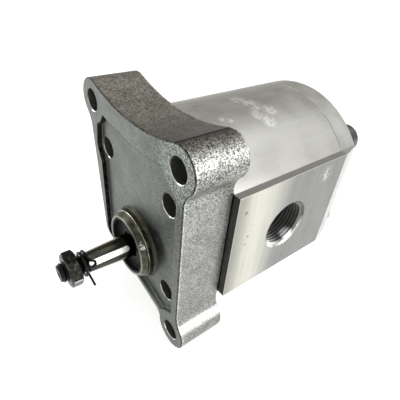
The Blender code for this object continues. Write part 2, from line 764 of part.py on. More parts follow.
def wire_path():
    """Eye on top of the key, then half a turn round the back of the shaft and a straight tail."""
    points = []
    turns = 14
    for i in range(turns + 1):
        phase = math.radians(290) * (1 - i / turns)
        spot = around_shaft(KEY_ANGLE, EYE_HEIGHT, EYE_Y + EYE_HALF_LENGTH * math.sin(phase))
        points.append(spot + around_shaft(KEY_ANGLE + math.pi / 2, EYE_HALF_WIDTH * math.cos(phase), 0))
    points.append(around_shaft(KEY_ANGLE + math.radians(16), 0.0075, EYE_Y - 0.0009))
    points.append(around_shaft(KEY_ANGLE + math.radians(27), 0.00655, WIRE_Y + 0.0001))
    for x, z in arc((0, 0), WIRE_COIL_RADIUS, WIRE_COIL_START, WIRE_COIL_END, math.radians(18)):
        points.append(Vector((x, WIRE_Y, z)))
    points.append(points[-1] + around_shaft(WIRE_COIL_END + math.pi / 2, WIRE_TAIL, 0))
    return points


def build_key_wire(mat, parent):
    """Wire that grips the shaft and holds the key, with an eye and a loose tail."""
    curve = bpy.data.curves.new("key_wire", "CURVE")
    curve.dimensions = "3D"
    curve.bevel_depth = WIRE_RADIUS
    curve.bevel_resolution = 1
    curve.use_fill_caps = True
    spline = curve.splines.new("POLY")
    path = wire_path()
    spline.points.add(len(path) - 1)
    for point, place in zip(spline.points, path):
        point.co = (*place, 1)
    curve.materials.append(mat)
    wire = bpy.data.objects.new("key_wire", curve)
    wire.parent = parent
    bpy.context.scene.collection.objects.link(wire)


def build_tie_bolts(bolt_mat, washer_mat, parent):
    """Four socket head cap screws and their washers."""
    washer_start = REAR_END + SEAM
    head_start = washer_start + WASHER_THICKNESS + SEAM
    head_end = head_start + HEAD_HEIGHT
    for number, place in enumerate(bolt_places(), 1):
        blind = place == (-BOLT_X, BOLT_Z - BOLT_DZ)
        tip = BLIND_BOLT_TIP_Y if blind else BOLT_TIP_Y
        profile = [
            (0, tip),
            (BOLT_RADIUS, tip),
            (BOLT_RADIUS, head_start),
            (HEAD_RADIUS, head_start),
            (HEAD_RADIUS, head_end - HEAD_CHAMFER),
            (HEAD_RADIUS - HEAD_CHAMFER, head_end),
            (0, head_end),
        ]
        bolt = solid(f"tie_bolt_{number}", turned(profile, 24, place), bolt_mat, parent)
        corners = [(x + place[0], z + place[1]) for x, z in hexagon(SOCKET_ACROSS_FLATS)]
        cut(bolt, f"socket_{number}", prism(corners, head_end - SOCKET_DEPTH, head_end + OVERCUT))
        inner = BOLT_RADIUS + THREAD_GAP
        ring = [
            (inner, washer_start),
            (WASHER_RADIUS, washer_start),
            (WASHER_RADIUS, washer_start + WASHER_THICKNESS),
            (inner, washer_start + WASHER_THICKNESS),
        ]
        solid(f"bolt_washer_{number}", turned(ring, 20, place), washer_mat, parent)


def build_dowels(mat, parent):
    places = [(seam, x) for seam in (COVER_THICKNESS, BODY_END) for x in (-DOWEL_X, DOWEL_X)]
    for number, (seam, x) in enumerate(places, 1):
        start = seam + SEAM / 2 - DOWEL_LENGTH / 2
        end = start + DOWEL_LENGTH
        pin = [(0, start), (DOWEL_RADIUS, start), (DOWEL_RADIUS, end), (0, end)]
        solid(f"dowel_{number}", turned(pin, 12, (x, BODY_Z)), mat, parent)


def make_materials():
    return {
        "cast": material("cast_aluminium", (0.50, 0.51, 0.48), 0.45, 0.9),
        "body": material("extruded_aluminium", (0.68, 0.68, 0.66), 0.35, 0.9),
        "rear": material("end_plate_aluminium", (0.55, 0.55, 0.52), 0.4, 0.9),
        "shaft": material("dark_shaft_steel", (0.10, 0.10, 0.08), 0.35, 0.9),
        "gear": material("ground_gear_steel", (0.40, 0.40, 0.40), 0.3, 1.0),
        "key": material("bright_key_steel", (0.85, 0.85, 0.84), 0.2, 1.0),
        "black": material("blackened_steel", (0.03, 0.03, 0.03), 0.4, 0.7),
        "bolt": material("bolt_steel", (0.13, 0.13, 0.13), 0.4, 0.8),
        "block": material("bearing_aluminium", (0.62, 0.62, 0.60), 0.35, 0.9),
        "bush": material("bearing_bronze", (0.55, 0.40, 0.20), 0.35, 0.9),
        "rubber": material("seal_rubber", (0.02, 0.02, 0.025), 0.6, 0.0),
        "plastic": material("backup_plastic", (0.75, 0.72, 0.62), 0.5, 0.0),
    }


def build_pump():
    """The whole pump: fixed housing pieces, then the two turning shafts."""
    clear_scene()
    mats = make_materials()
    frame = empty("pump_frame", (0, FRAME_Y, FRAME_Z))
    drive_axis = empty("drive_axis", (0, 0, 0), frame)
    driven_axis = empty("driven_axis", (0, 0, GEAR_SPACING), frame)
    build_front_cover(mats["cast"], frame)
    build_body(mats["body"], frame)
    build_rear_cover(mats["rear"], frame)
    build_drive_gear(mats["shaft"], drive_axis)
    build_driven_gear(mats["gear"], driven_axis)
    front_back = BODY_START + END_PLAY
    rear_back = BODY_END - END_PLAY
    build_bearing_block("front_bearing_block", GEAR_START - END_PLAY, front_back, mats["block"], frame)
    build_bearing_block("rear_bearing_block", GEAR_END + END_PLAY, rear_back, mats["block"], frame)
    build_block_seals("front", front_back, mats, frame)
    build_block_seals("rear", rear_back, mats, frame)
    build_bushes(mats["bush"], frame)
    build_body_seals(mats["rubber"], frame)
    build_shaft_seal(mats["rubber"], mats["gear"], frame)
    solid("shaft_key", key_block(0.0, KEY_BOTTOM, KEY_TOP), mats["key"], drive_axis)
    build_shaft_nut(mats["black"], drive_axis)
    build_spring_washer(mats["black"], drive_axis)
    build_key_wire(mats["black"], drive_axis)
    build_tie_bolts(mats["bolt"], mats["bolt"], frame)
    build_dowels(mats["gear"], frame)


build_pump()
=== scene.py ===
"""Studio scene of a hydraulic gear pump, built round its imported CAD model.

Shapes are written in millimetres in pump coordinates: the drive shaft lies along y with its end at -y,
the flange face is y = 0 and the shaft axis is x = z = 0. piece() turns them into metres in the CAD frame.
"""

from math import asin, atan, atan2, ceil, copysign, cos, hypot, pi, radians, sin, sqrt, tan, tau

import bmesh
import bpy
from mathutils import Matrix, Quaternion, Vector, noise


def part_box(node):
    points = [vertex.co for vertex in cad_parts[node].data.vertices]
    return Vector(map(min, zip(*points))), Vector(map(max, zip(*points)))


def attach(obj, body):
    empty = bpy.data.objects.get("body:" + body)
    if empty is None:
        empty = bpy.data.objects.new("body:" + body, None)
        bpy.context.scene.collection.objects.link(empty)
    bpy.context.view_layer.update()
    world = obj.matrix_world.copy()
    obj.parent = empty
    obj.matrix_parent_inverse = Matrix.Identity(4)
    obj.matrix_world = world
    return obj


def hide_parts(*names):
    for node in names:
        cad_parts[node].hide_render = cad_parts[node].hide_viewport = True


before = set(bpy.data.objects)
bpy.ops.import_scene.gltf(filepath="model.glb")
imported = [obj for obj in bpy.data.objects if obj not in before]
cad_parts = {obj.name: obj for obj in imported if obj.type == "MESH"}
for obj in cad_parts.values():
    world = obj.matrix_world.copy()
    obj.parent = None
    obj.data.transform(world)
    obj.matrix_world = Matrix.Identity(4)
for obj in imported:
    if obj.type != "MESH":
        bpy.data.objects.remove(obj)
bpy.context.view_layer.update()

MM = 0.001
PUMP_MIDDLE = Vector((0, 0, 0.055))

# Front cover
EAR_X = 35.7
EAR_LOW_Z = -32.5
EAR_HIGH_Z = 63.7
EAR_RADIUS = 10.24
EAR_HOLE = 5.3
COVER_T = 25.5
SIDE_X = 40.0
LEFT_TOP_X = -39.2
TOP_ARC = 102.5
SIDE_FILLET = 10.0
FOOT_FILLET = 4.0
CORNER = ((-27.8, -11.0), 6.0)
BOSS_SURROUND = 23.1
THICKENING_Y = 12.0
RECESS_DEPTH = 2.5
RECESS_LEFT_X = -31.2
RECESS_CORNER = 1.5
RECESS_BEND = 4.0
RECESS_BEND_DROP = 10.5
RECESS_TOP_RIM = 11.0
RECESS_RIGHT_RIM = 4.5
RECESS_BOSS_RIM = 2.6
RECESS_LOW_TURN = radians(142)
RECESS_HIGH_TURN = radians(-68)
RECESS_DRAFT = 0.12
RECESS_FOOT = 0.75
SCRIBED_LINE = 0.62
EAR_LAND = 11.2
BOLT_LAND = 6.6
CREASE_RADIUS = 0.65
CREASE_ANGLE = radians(104.3)
BOSS_FACE_Y = -4.5
BOSS_BORE = 15.1
SEAL_FACE_Y = -1.2
SEAL_BACK_Y = 5.8
SHAFT_PASSAGE = 9.6

# Body and rear cover
GEAR_SPACING = 31.2
BODY_Z = GEAR_SPACING / 2
BODY_R = 50.5
BODY_START = 25.8
BODY_END = 100.5
REAR_START = 100.8
REAR_END = 112.8
PAD_X = 44.1
PAD_TOP_Z = 46.3
PAD_LOW_Z = -15.0
REAR_FLAT_X = 40.4
PAD_FILLET = 0.35
CHAMBER_RADIUS = 18.35
PORT_Y = 63.0
PORT_PITCH = 1.814
INLET_THREAD = (13.2, 12.15)
OUTLET_THREAD = (10.45, 9.3)
THREAD_DEPTH = 15.5
PASSAGE_RADIUS = 8.5

# Tie bolts
BOLT_X = 27.4
BOLT_Z = 15.1
BOLT_DZ = 26.5
BOLT_PLACES = [(x, BOLT_Z + dz) for x in (-BOLT_X, BOLT_X) for dz in (BOLT_DZ, -BOLT_DZ)]
BLIND_BOLT = BOLT_PLACES[1]
BLIND_END = 10.5
BOLT_HOLE = 5.3
BOLT_R = 4.9
SCREW_PITCH = 1.5
HEAD_START = 115.6
HEAD_END = 125.6
HEAD_R = 8.3
SOCKET_ACROSS = 8.0
SOCKET_DEPTH = 5.0
WASHER_START = 113.1
WASHER_END = 115.3

# Gear and shaft
TEETH = 12
PRESSURE_ANGLE = radians(25)
BACKLASH = 0.3
GEAR_START = 47.0
GEAR_END = 79.0
JOURNAL_R = 8.0
JOURNAL_END = 98.5
SCREW_ROOT = 4.15
SCREW_CREST = 4.78
NUT_START = -35.7
NUT_END = -29.9
NUT_ACROSS = 16.0
NUT_BORE = 5.1
KEY_ANGLE = radians(35)
KEY_HALF_WIDTH = 1.5
KEY_TOP = 7.0
KEY_FRONT_Y = -25.9
KEY_REAR_Y = -5.2
WIRE_RADIUS = 0.53
WIRE_COIL = 6.1
COIL_START = radians(75)
COIL_END = radians(259)
WIRE_Y = -25.6
WIRE_TAIL = 9.8
EYE_HEIGHT = 7.66
EYE_Y = -24.75
EYE_HALF_LENGTH = 1.65
EYE_HALF_WIDTH = 1.35

cover_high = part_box("front_cover")[1]
nut_low, nut_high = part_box("shaft_nut")
ORIGIN = Vector((0, cover_high.y - COVER_T * MM, (nut_low.z + nut_high.z) / 2))


# ---- outlines in the x-z plane


def polar(centre, radius, angle):
    return (centre[0] + radius * cos(angle), centre[1] + radius * sin(angle))


def arc(centre, radius, start, end, step):
    """Points along an arc, no further apart than step."""
    count = max(1, ceil(abs(end - start) / step - 0.001))
    return [polar(centre, radius, start + (end - start) * i / count) for i in range(count + 1)]


def tangent_angle(first, second):
    """Direction of the straight run that leaves one rounded corner and joins the next."""
    dx = second[0][0] - first[0][0]
    dz = second[0][1] - first[0][1]
    slip = (second[1] - first[1]) / hypot(dx, dz)
    return atan2(dz, dx) - asin(max(-1.0, min(1.0, slip)))


def rounded(corners, grow=0.0, step=6.0):
    """Anticlockwise outline round corners ((x, z), radius), moved out by grow.

    A negative radius is a hollow corner. The number of points doesn't depend on grow.
    """
    points = []
    for i, corner in enumerate(corners):
        centre, radius = corner
        arrive = tangent_angle(corners[i - 1], corner)
        leave = tangent_angle(corner, corners[(i + 1) % len(corners)])
        turn = (leave - arrive + 1e-6) % tau - 1e-6
        if radius < 0:
            turn = -((arrive - leave + 1e-6) % tau - 1e-6)
        side = -pi / 2 if radius > 0 else pi / 2
        local = radians(step if abs(radius) < 30 else 1.5)
        points += arc(centre, abs(radius + grow), arrive + side, arrive + side + turn, local)
    return points


def hollow_between(first, second, radius):
    """Centre of a hollow arc that touches two rounded corners, on the right of first to second."""
    a = first[1] + radius
    b = second[1] + radius
    start = Vector(first[0])
    along = Vector(second[0]) - start
    length = along.length
    along.normalize()
    run = (a * a - b * b + length * length) / (2 * length)
    across = Vector((along.y, -along.x))
    return tuple(start + along * run + across * sqrt(a * a - run * run))


def side_hollow(corner, side_x, upward):
    """Hollow corner that touches a rounded corner and the upright line x = side_x."""
    centre_x = side_x + copysign(SIDE_FILLET, side_x)
    reach = corner[1] + SIDE_FILLET
    rise = sqrt(reach * reach - (centre_x - corner[0][0]) ** 2)
    return ((centre_x, corner[0][1] + (rise if upward else -rise)), -SIDE_FILLET)


HIGH_RIGHT = ((EAR_X, EAR_HIGH_Z), EAR_RADIUS)
HIGH_LEFT = ((-EAR_X, EAR_HIGH_Z), EAR_RADIUS)
LOW_RIGHT = ((EAR_X, EAR_LOW_Z), EAR_RADIUS)
TOP_CENTRE = hollow_between(HIGH_RIGHT, HIGH_LEFT, TOP_ARC)


def cover_corners():
    """Flange with three ears, a hollow top, and a cut corner that runs into the boss surround."""
    return [
        LOW_RIGHT,
        side_hollow(LOW_RIGHT, SIDE_X, True),
        side_hollow(HIGH_RIGHT, SIDE_X, False),
        HIGH_RIGHT,
        (TOP_CENTRE, -TOP_ARC),
        HIGH_LEFT,
        side_hollow(HIGH_LEFT, LEFT_TOP_X, False),
        CORNER,
        ((0, 0), BOSS_SURROUND),
        (polar(LOW_RIGHT[0], EAR_RADIUS + FOOT_FILLET, pi), -FOOT_FILLET),
    ]


def recess_corners():
    """Pocket in the flange face: it keeps a rim at the edges and a round land at each ear."""
    ear_low, ear_right, ear_left = LOW_RIGHT[0], HIGH_RIGHT[0], HIGH_LEFT[0]
    top_radius = TOP_ARC + RECESS_TOP_RIM
    top = (TOP_CENTRE, top_radius)
    corner = RECESS_CORNER
    bend = RECESS_BEND
    right = SIDE_X - RECESS_RIGHT_RIM - corner
    bolt_high = BOLT_Z + BOLT_DZ
    return [
        (polar(ear_low, EAR_LAND + corner, RECESS_LOW_TURN), corner),
        (ear_low, -EAR_LAND),
        ((right, EAR_LOW_Z + EAR_LAND + 2 * corner), corner),
        ((right, EAR_HIGH_Z - EAR_LAND - 2 * corner), corner),
        (ear_right, -EAR_LAND),
        (hollow_between(top, (ear_right, EAR_LAND), corner), corner),
        (TOP_CENTRE, -top_radius),
        (hollow_between((ear_left, EAR_LAND), top, corner), corner),
        (ear_left, -EAR_LAND),
        (polar(ear_left, EAR_LAND + corner, RECESS_HIGH_TURN), corner),
        ((-BOLT_X, bolt_high), BOLT_LAND),
        ((RECESS_LEFT_X - bend, bolt_high - RECESS_BEND_DROP), -bend),
        ((RECESS_LEFT_X + bend, CORNER[0][1]), bend),
        ((0, 0), BOSS_SURROUND - RECESS_BOSS_RIM),
    ]


def body_corners(flat_x):
    """Round body with a flat port pad on each side, at x = flat_x."""
    fillet = PAD_FILLET
    corners = []
    for side, edge_z in ((1, PAD_TOP_Z), (-1, PAD_TOP_Z), (-1, PAD_LOW_Z), (1, PAD_LOW_Z)):
        up = 1 if edge_z > BODY_Z else -1
        reach = BODY_R + fillet
        hollow_z = edge_z + up * fillet
        hollow_x = side * sqrt(reach * reach - (hollow_z - BODY_Z) ** 2)
        hollow = ((hollow_x, hollow_z), -fillet)
        outer = ((side * (flat_x - fillet), edge_z - up * fillet), fillet)
        disc = ((0, BODY_Z), BODY_R)
        corners += [outer, hollow, disc] if side == up else [hollow, outer]
    return corners


def figure_eight(radius):
    """Outline round the two gears."""
    step = radians(4)
    waist = asin(BODY_Z / radius)
    lower = arc((0, 0), radius, pi - waist, tau + waist, step)
    upper = arc((0, GEAR_SPACING), radius, -waist, pi + waist, step)
    return lower[:-1] + upper[:-1]


def involute_angle(radius, base):
    """Angle by which a tooth flank has left its start on the base circle."""
    if radius <= base:
        return 0.0
    roll = sqrt((radius / base) ** 2 - 1)
    return roll - atan(roll)


def gear_outline(turn):
    """Involute teeth from root to tip, with the first tooth at the angle turn."""
    pitch = GEAR_SPACING / 2
    base = pitch * cos(PRESSURE_ANGLE)
    half = pi / (2 * TEETH) - BACKLASH / (4 * pitch) + involute_angle(pitch, base)
    radii = [12.7, 13.2, base, 14.6, pitch, 16.4, 17.3, 18.05]
    points = []
    for tooth in range(TEETH):
        middle = turn + tau * tooth / TEETH
        points += [polar((0, 0), r, middle - half + involute_angle(r, base)) for r in radii]
        points += [polar((0, 0), r, middle + half - involute_angle(r, base)) for r in reversed(radii)]
    return points


def edge_round(radius, count=4):
    """(inset, depth) pairs of a rounded edge, from the face to the side."""
    pairs = []
    for i in range(count + 1):
        angle = pi / 2 * i / count
        pairs.append((radius * (1 - sin(angle)), radius * (1 - cos(angle))))
    return pairs


# ---- meshes


def bridge(bm, first, second, index=0):
    """Band of faces between two closed rows of vertices."""
    for i in range(len(first)):
        corners = list(dict.fromkeys([first[i - 1], first[i], second[i], second[i - 1]]))
        if len(corners) > 2:
            bm.faces.new(corners).material_index = index


def skinned(loops, marks=None):
    """Closed solid through a list of loops of points; marks gives each band its material."""
    bm = bmesh.new()
    rows = [[bm.verts.new(p) for p in loop] for loop in loops]
    for i in range(len(rows) - 1):
        bridge(bm, rows[i], rows[i + 1], marks[i] if marks else 0)
    bm.faces.new(rows[0])
    bm.faces.new(rows[-1])
    bmesh.ops.remove_doubles(bm, verts=bm.verts, dist=0.0005)
    bmesh.ops.recalc_face_normals(bm, faces=bm.faces)
    return bm


def at(outline, y):
    return [(x, y, z) for x, z in outline]


def prism(outline, y_start, y_end):
    """Straight solid with the same outline at both ends."""
    return skinned([at(outline, y_start), at(outline, y_end)])


def turned(profile, segments, centre=(0, 0), marks=None):
    """Solid of revolution about the y axis through centre. The profile is a closed list of (r, y)."""
    bm = bmesh.new()
    rows = []
    for radius, y in profile:
        if radius == 0:
            rows.append([bm.verts.new((centre[0], y, centre[1]))] * segments)
            continue
        ring = [polar(centre, radius, tau * i / segments) for i in range(segments)]
        rows.append([bm.verts.new((x, y, z)) for x, z in ring])
    for i, row in enumerate(rows):
        after = rows[(i + 1) % len(rows)]
        if profile[i][0] == 0 and profile[(i + 1) % len(rows)][0] == 0:
            continue
        bridge(bm, row, after, marks[i] if marks else 0)
    bmesh.ops.recalc_face_normals(bm, faces=bm.faces)
    return bm


def moved(bm, matrix):
    """The same mesh after a turn or a shift."""
    bmesh.ops.transform(bm, matrix=matrix, verts=bm.verts)
    return bm


def merged(parts):
    """One mesh that holds several separate closed shapes."""
    bm = bmesh.new()
    for part in parts:
        mesh = bpy.data.meshes.new("part")
        part.to_mesh(mesh)
        part.free()
        bm.from_mesh(mesh)
        bpy.data.meshes.remove(mesh)
    return bm


def linked(name, data):
    obj = bpy.data.objects.new(name, data)
    bpy.context.scene.collection.objects.link(obj)
    return obj


def piece(name, bm, mats):
    """Object from a mesh written in pump coordinates."""
    bmesh.ops.scale(bm, vec=(MM, MM, MM), verts=bm.verts)
    bmesh.ops.translate(bm, vec=ORIGIN, verts=bm.verts)
    mesh = bpy.data.meshes.new(name)
    bm.to_mesh(mesh)
    bm.free()
    for mat in mats:
        mesh.materials.append(mat)
    return linked(name, mesh)


def combine(obj, operation, bm, mats):
    """Adds a Boolean with a helper that settle() removes."""
    helper = piece(obj.name + "_helper", bm, mats)
    modifier = obj.modifiers.new(operation, "BOOLEAN")
    modifier.operation = operation
    modifier.solver = "EXACT"
    modifier.material_mode = "TRANSFER"
    modifier.object = helper


def cut(obj, bm, mats):
    """Takes a shape away, and leaves its materials on the cut faces."""
    combine(obj, "DIFFERENCE", bm, mats)


def settle(obj, angle=34):
    """Applies the Booleans, removes the helpers and sets smooth shading with crisp flats."""
    helpers = [m.object for m in obj.modifiers if m.type == "BOOLEAN"]
    graph = bpy.context.evaluated_depsgraph_get()
    mesh = bpy.data.meshes.new_from_object(obj.evaluated_get(graph))
    obj.modifiers.clear()
    obj.data = mesh
    mesh.name = obj.name
    for helper in helpers:
        bpy.data.objects.remove(helper)
    mesh.shade_smooth()
    mesh.set_sharp_from_angle(angle=radians(angle))
    weighted = obj.modifiers.new("flats", "WEIGHTED_NORMAL")
    weighted.keep_sharp = True
    return obj


def stands_for(obj, body, slot, *nodes):
    """Puts a piece on its body in place of the CAD nodes it shows."""
    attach(obj, body)
    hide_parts(*nodes)


# ---- materials


def put(tree, socket, value):
    """Links another node's output, or sets a plain value. Colours are given without alpha."""
    if hasattr(value, "links"):
        tree.links.new(value, socket)
    else:
        socket.default_value = (*value, 1) if socket.type == "RGBA" else value


def add_node(tree, kind, inputs=None, **settings):
    """Adds a shader node with its settings and its inputs."""
    made = tree.nodes.new("ShaderNode" + kind)
    for key, value in settings.items():
        setattr(made, key, value)
    for key, value in (inputs or {}).items():
        put(tree, made.inputs[key], value)
    return made


class Paint:
    """A short way to write one material's nodes. Lengths are in millimetres.

    x, y and z are pump coordinates, and facing holds the parts of the surface normal.
    """

    def __init__(self, name, colour, roughness, metallic=1.0):
        self.mat = bpy.data.materials.new(name)
        self.mat.use_nodes = True
        self.tree = self.mat.node_tree
        self.shader = self.tree.nodes["Principled BSDF"]
        self.surface("Metallic", metallic)
        self.colour(colour)
        self.roughness(roughness)
        coords = self.node("TexCoord")
        self.place = coords.outputs["Object"]
        self.normal = coords.outputs["Normal"]
        self.facing = self.node("SeparateXYZ", {"Vector": self.normal}).outputs
        pump = self.mapped((1, 1, 1), -1000 * ORIGIN)
        self.x, self.y, self.z = self.node("SeparateXYZ", {"Vector": pump}).outputs

    def node(self, kind, inputs=None, **settings):
        return add_node(self.tree, kind, inputs, **settings)

    def surface(self, name, value):
        put(self.tree, self.shader.inputs[name], value)

    def mapped(self, stretch, shift=(0, 0, 0)):
        """Coordinates in millimetres, scaled along each axis."""
        scale = tuple(1000 * s for s in stretch)
        return self.node("Mapping", {"Vector": self.place, "Scale": scale, "Location": shift}).outputs[0]

    def noise(self, size, detail=3.0, rough=0.55, stretch=(1, 1, 1)):
        """Noise whose features are about size millimetres across."""
        vector = self.mapped([s / size for s in stretch])
        inputs = {"Vector": vector, "Scale": 1.0, "Detail": detail, "Roughness": rough}
        return self.node("TexNoise", inputs).outputs["Fac"]

    def cloud(self, *shape, **stretch):
        """Noise with its middle range spread from 0 to 1."""
        return self.span(self.noise(*shape, **stretch), 0.3, 0.7)

    def cells(self, size, shift=(0, 0, 0), output="Distance"):
        """Scattered cells: the distance from each one's middle, or another output."""
        inputs = {"Vector": self.mapped([1 / size] * 3, shift), "Scale": 1.0}
        return self.node("TexVoronoi", inputs).outputs[output]

    def grains(self, size, shift=(0, 0, 0)):
        """A random value for each tiny cell."""
        return self.node("SeparateColor", {"Color": self.cells(size, shift, "Color")}).outputs[0]

    def spot(self, centre, radius, core=0.0):
        """A round patch: 1 inside the core, 0 beyond the radius."""
        inputs = {0: self.place, 1: Vector(centre) * MM + ORIGIN}
        away = self.node("VectorMath", inputs, operation="DISTANCE").outputs["Value"]
        return self.span(away, radius * MM, core * MM)

    def times(self, colour, value):
        return self.mix(1.0, colour, value, "MULTIPLY")

    def inverse(self, value):
        return self.maths("SUBTRACT", 1.0, value)

    def span(self, value, low, high, to_low=0.0, to_high=1.0):
        """Smooth step of a value from one range to another."""
        inputs = {"Value": value, "From Min": low, "From Max": high, "To Min": to_low, "To Max": to_high}
        return self.node("MapRange", inputs, interpolation_type="SMOOTHSTEP").outputs[0]

    def maths(self, operation, first, second=0.0):
        return self.node("Math", {0: first, 1: second}, operation=operation).outputs[0]

    def product(self, *values):
        total = values[0]
        for value in values[1:]:
            total = self.maths("MULTIPLY", total, value)
        return total

    def toward(self, degrees):
        """How squarely the surface faces a direction across the shaft axis, from -1 to 1."""
        angle = radians(degrees)
        inputs = {0: self.normal, 1: (cos(angle), 0, sin(angle))}
        return self.node("VectorMath", inputs, operation="DOT_PRODUCT").outputs["Value"]

    def faces_front(self, low):
        """1 on surfaces that face the shaft end, 0 below the given cosine."""
        return self.span(self.facing["Y"], -low, -0.95)

    def faces_up(self):
        """1 on surfaces that face up."""
        return self.span(self.facing["Z"], 0.55, 0.95)

    def fade(self, mask, share):
        """Multiplier that goes from 1 outside a mask to share inside it."""
        return self.span(mask, 0, 1, 1.0, share)

    def mix(self, amount, first, second, blend="MIX"):
        inputs = {"Factor": amount, 6: first, 7: second}
        return self.node("Mix", inputs, data_type="RGBA", blend_type=blend).outputs[2]

    def over(self, base, colour, mask, share):
        """Lays a colour over the base where the mask is, at a share of full strength."""
        return self.mix(self.product(mask, share), base, colour)

    def colour(self, value):
        self.surface("Base Color", value)

    def roughness(self, value):
        self.surface("Roughness", value)

    def bump(self, height, depth, strength=1.0):
        """Stacks a bump whose height map spans depth millimetres."""
        inputs = {"Height": height, "Distance": depth * MM, "Strength": strength}
        for link in self.shader.inputs["Normal"].links:
            inputs["Normal"] = link.from_socket
        self.surface("Normal", self.node("Bump", inputs).outputs[0])


def cast_tones(p, mottle, top):
    """Mottled grey with a brown stain on top that painted shade darkens toward the right ear, a painted
    highlight on the right ear's barrel with painted shade by the crease, and a duller cheek.
    """
    x, z = p.x, p.z
    base = p.mix(mottle, (0.37, 0.38, 0.355), (0.46, 0.47, 0.445))
    stain_and_shade = p.mix(p.cloud(5, 5, 0.6), (0.25, 0.24, 0.21), (0.345, 0.335, 0.305))
    # Painted shade: the stain darkens toward the right ear, most of all next to the crease.
    stain_and_shade = p.times(stain_and_shade, p.product(p.span(x, -5, 32, 1.02, 0.52), p.span(x, 25, 32.6, 1.0, 0.72)))
    base = p.mix(top, base, stain_and_shade)
    # Painted highlight on the top of the right ear's barrel, with painted shade where it meets the crease.
    crest = p.product(p.span(z, 64, 70), p.span(x, 32.6, 33.0))
    barrel_light_and_shade = p.product(p.span(x, 33.2, 38.0, 0.6, 1.9), p.span(x, 42, 45.5, 1.0, 0.78))
    base = p.times(base, p.mix(crest, (1, 1, 1), barrel_light_and_shade))
    cheek = p.product(p.span(x, 38, 42), p.span(z, 68, 62), p.span(z, 46, 56))
    return p.times(base, p.fade(cheek, 0.82))


def cast_front(p, mottle):
    """Greenish face of the casting, darker round the boss and lighter on the right ear."""
    green = p.mix(mottle, (0.14, 0.152, 0.14), (0.18, 0.193, 0.179))
    # A darker patch at the upper right of the boss.
    dark_patch = p.product(p.spot((16, 2, 11), 13, 7), p.span(p.noise(4, 5, 0.65), 0.3, 0.6, 0.5, 1.0))
    green = p.times(green, p.fade(dark_patch, 0.22))
    ear_light = p.product(p.span(p.x, 18, 33), p.span(p.z, 46, 54))
    green = p.times(green, p.fade(ear_light, 1.6))
    return p.times(green, p.fade(p.spot((10, 1, 6), 31, 9), 0.64))


def cast_edges(p, base, sideways, foot):
    """Duller flank and toe on the side, and painted highlights in the bright bands at the foot, the back
    edge and the front rim.
    """
    y, z = p.y, p.z
    flank = p.product(sideways, p.span(z, 54, 46))
    toe = p.product(sideways, p.span(z, -26.5, -31.5))
    base = p.times(base, p.product(p.fade(flank, 0.86), p.fade(toe, 0.94)))
    # Painted highlight: a bright band on the side of the foot.
    base = p.over(base, (0.84, 0.84, 0.8), foot, 0.85)
    # Painted highlight along the back edge of the top, where it faces up.
    back_edge = p.product(p.faces_up(), p.span(y, 24.3, 24.8))
    base = p.over(base, (0.72, 0.7, 0.6), back_edge, 0.6)
    # Painted highlight just behind the front edge on the side.
    rim = p.product(sideways, p.span(y, 0.45, 0.7), p.span(y, 1.5, 0.9))
    return p.over(base, (0.9, 0.9, 0.87), rim, 0.45)


def cast_grain(p, base, sand, top, foot):
    """Blasted grain, coarser and deeper toward the right and on top, with dark pits."""
    coarse = p.maths("MAXIMUM", p.span(p.x, 8, 34), p.product(top, 0.55))
    coarse = p.product(coarse, p.inverse(p.product(foot, 0.7)))
    fine = p.span(sand, 0.25, 0.75, 0.7, 1.3)
    swing = p.product(p.span(p.z, 40, 56, 0.36, 0.66), p.inverse(p.product(foot, 0.6)))
    rough = p.maths("ADD", 0.86, p.product(p.span(sand, 0.25, 0.75, -1.0, 1.0), swing))
    base = p.times(base, p.maths("ADD", p.product(fine, p.inverse(coarse)), p.product(rough, coarse)))
    pits = p.span(p.cells(1.9), 0.2, 0.09)
    return p.mix(p.product(pits, p.span(coarse, 0, 1, 0.35, 0.7)), base, (0.03, 0.03, 0.03))


def cast_aluminium():
    """Blasted casting: mottled grey, browner on its top, with a coarser grain toward the right."""
    p = Paint("cast_aluminium", (0.42, 0.43, 0.4), 0.42)
    mottle = p.span(p.noise(9, 4), 0.35, 0.68)
    top = p.product(p.faces_up(), p.span(p.z, 30, 45))
    sideways = p.span(p.facing["X"], 0.2, 0.7)
    # Band round the foot: it takes a painted highlight and a finer grain.
    foot = p.product(sideways, p.span(p.z, -28.8, -26.6), p.span(p.z, -22.6, -24.6))
    sand = p.maths("ADD", p.product(p.grains(0.52), 0.5), p.product(p.grains(0.32, (5, 2, 9)), 0.5))
    base = p.mix(p.faces_front(0.7), cast_tones(p, mottle, top), cast_front(p, mottle))
    base = cast_edges(p, base, sideways, foot)
    p.colour(cast_grain(p, base, sand, top, foot))
    p.roughness(p.span(sand, 0.2, 0.8, 0.36, 0.48))
    p.bump(sand, 0.05, 0.35)
    p.bump(p.noise(3.2, 3, 0.5), 0.12, 0.35)
    return p.mat


def dark_front_edge():
    """Thin dark line along the front edge of the flange."""
    p = Paint("dark_front_edge", (0.12, 0.12, 0.11), 0.5)
    broken = p.span(p.noise(1.6, 3, 0.6), 0.38, 0.55)
    p.colour(p.mix(broken, (0.018, 0.018, 0.016), (0.1, 0.1, 0.09)))
    p.bump(p.noise(0.8, 2), 0.05)
    return p.mat


def recess_wall():
    """Wall of the recess, dark with painted shade on its left side and under its upper edge."""
    p = Paint("recess_wall", (0.1, 0.1, 0.1), 0.55)
    # Painted shade: the left side of the wall is dark and mottled.
    left = p.span(p.x, -20, 5)
    dark_patch = p.span(p.noise(3.0, 4), 0.35, 0.7)
    darkening = p.mix(dark_patch, (0.012, 0.012, 0.011), (0.05, 0.05, 0.048))
    # Painted shade where the wall faces down, under its upper edge.
    downward = p.span(p.facing["Z"], -0.03, -0.12)
    under = p.product(downward, p.span(p.z, 32, 37))
    p.colour(p.mix(under, p.mix(left, darkening, (0.26, 0.27, 0.25)), (0.03, 0.03, 0.028)))
    p.bump(p.noise(0.9, 3), 0.08)
    return p.mat


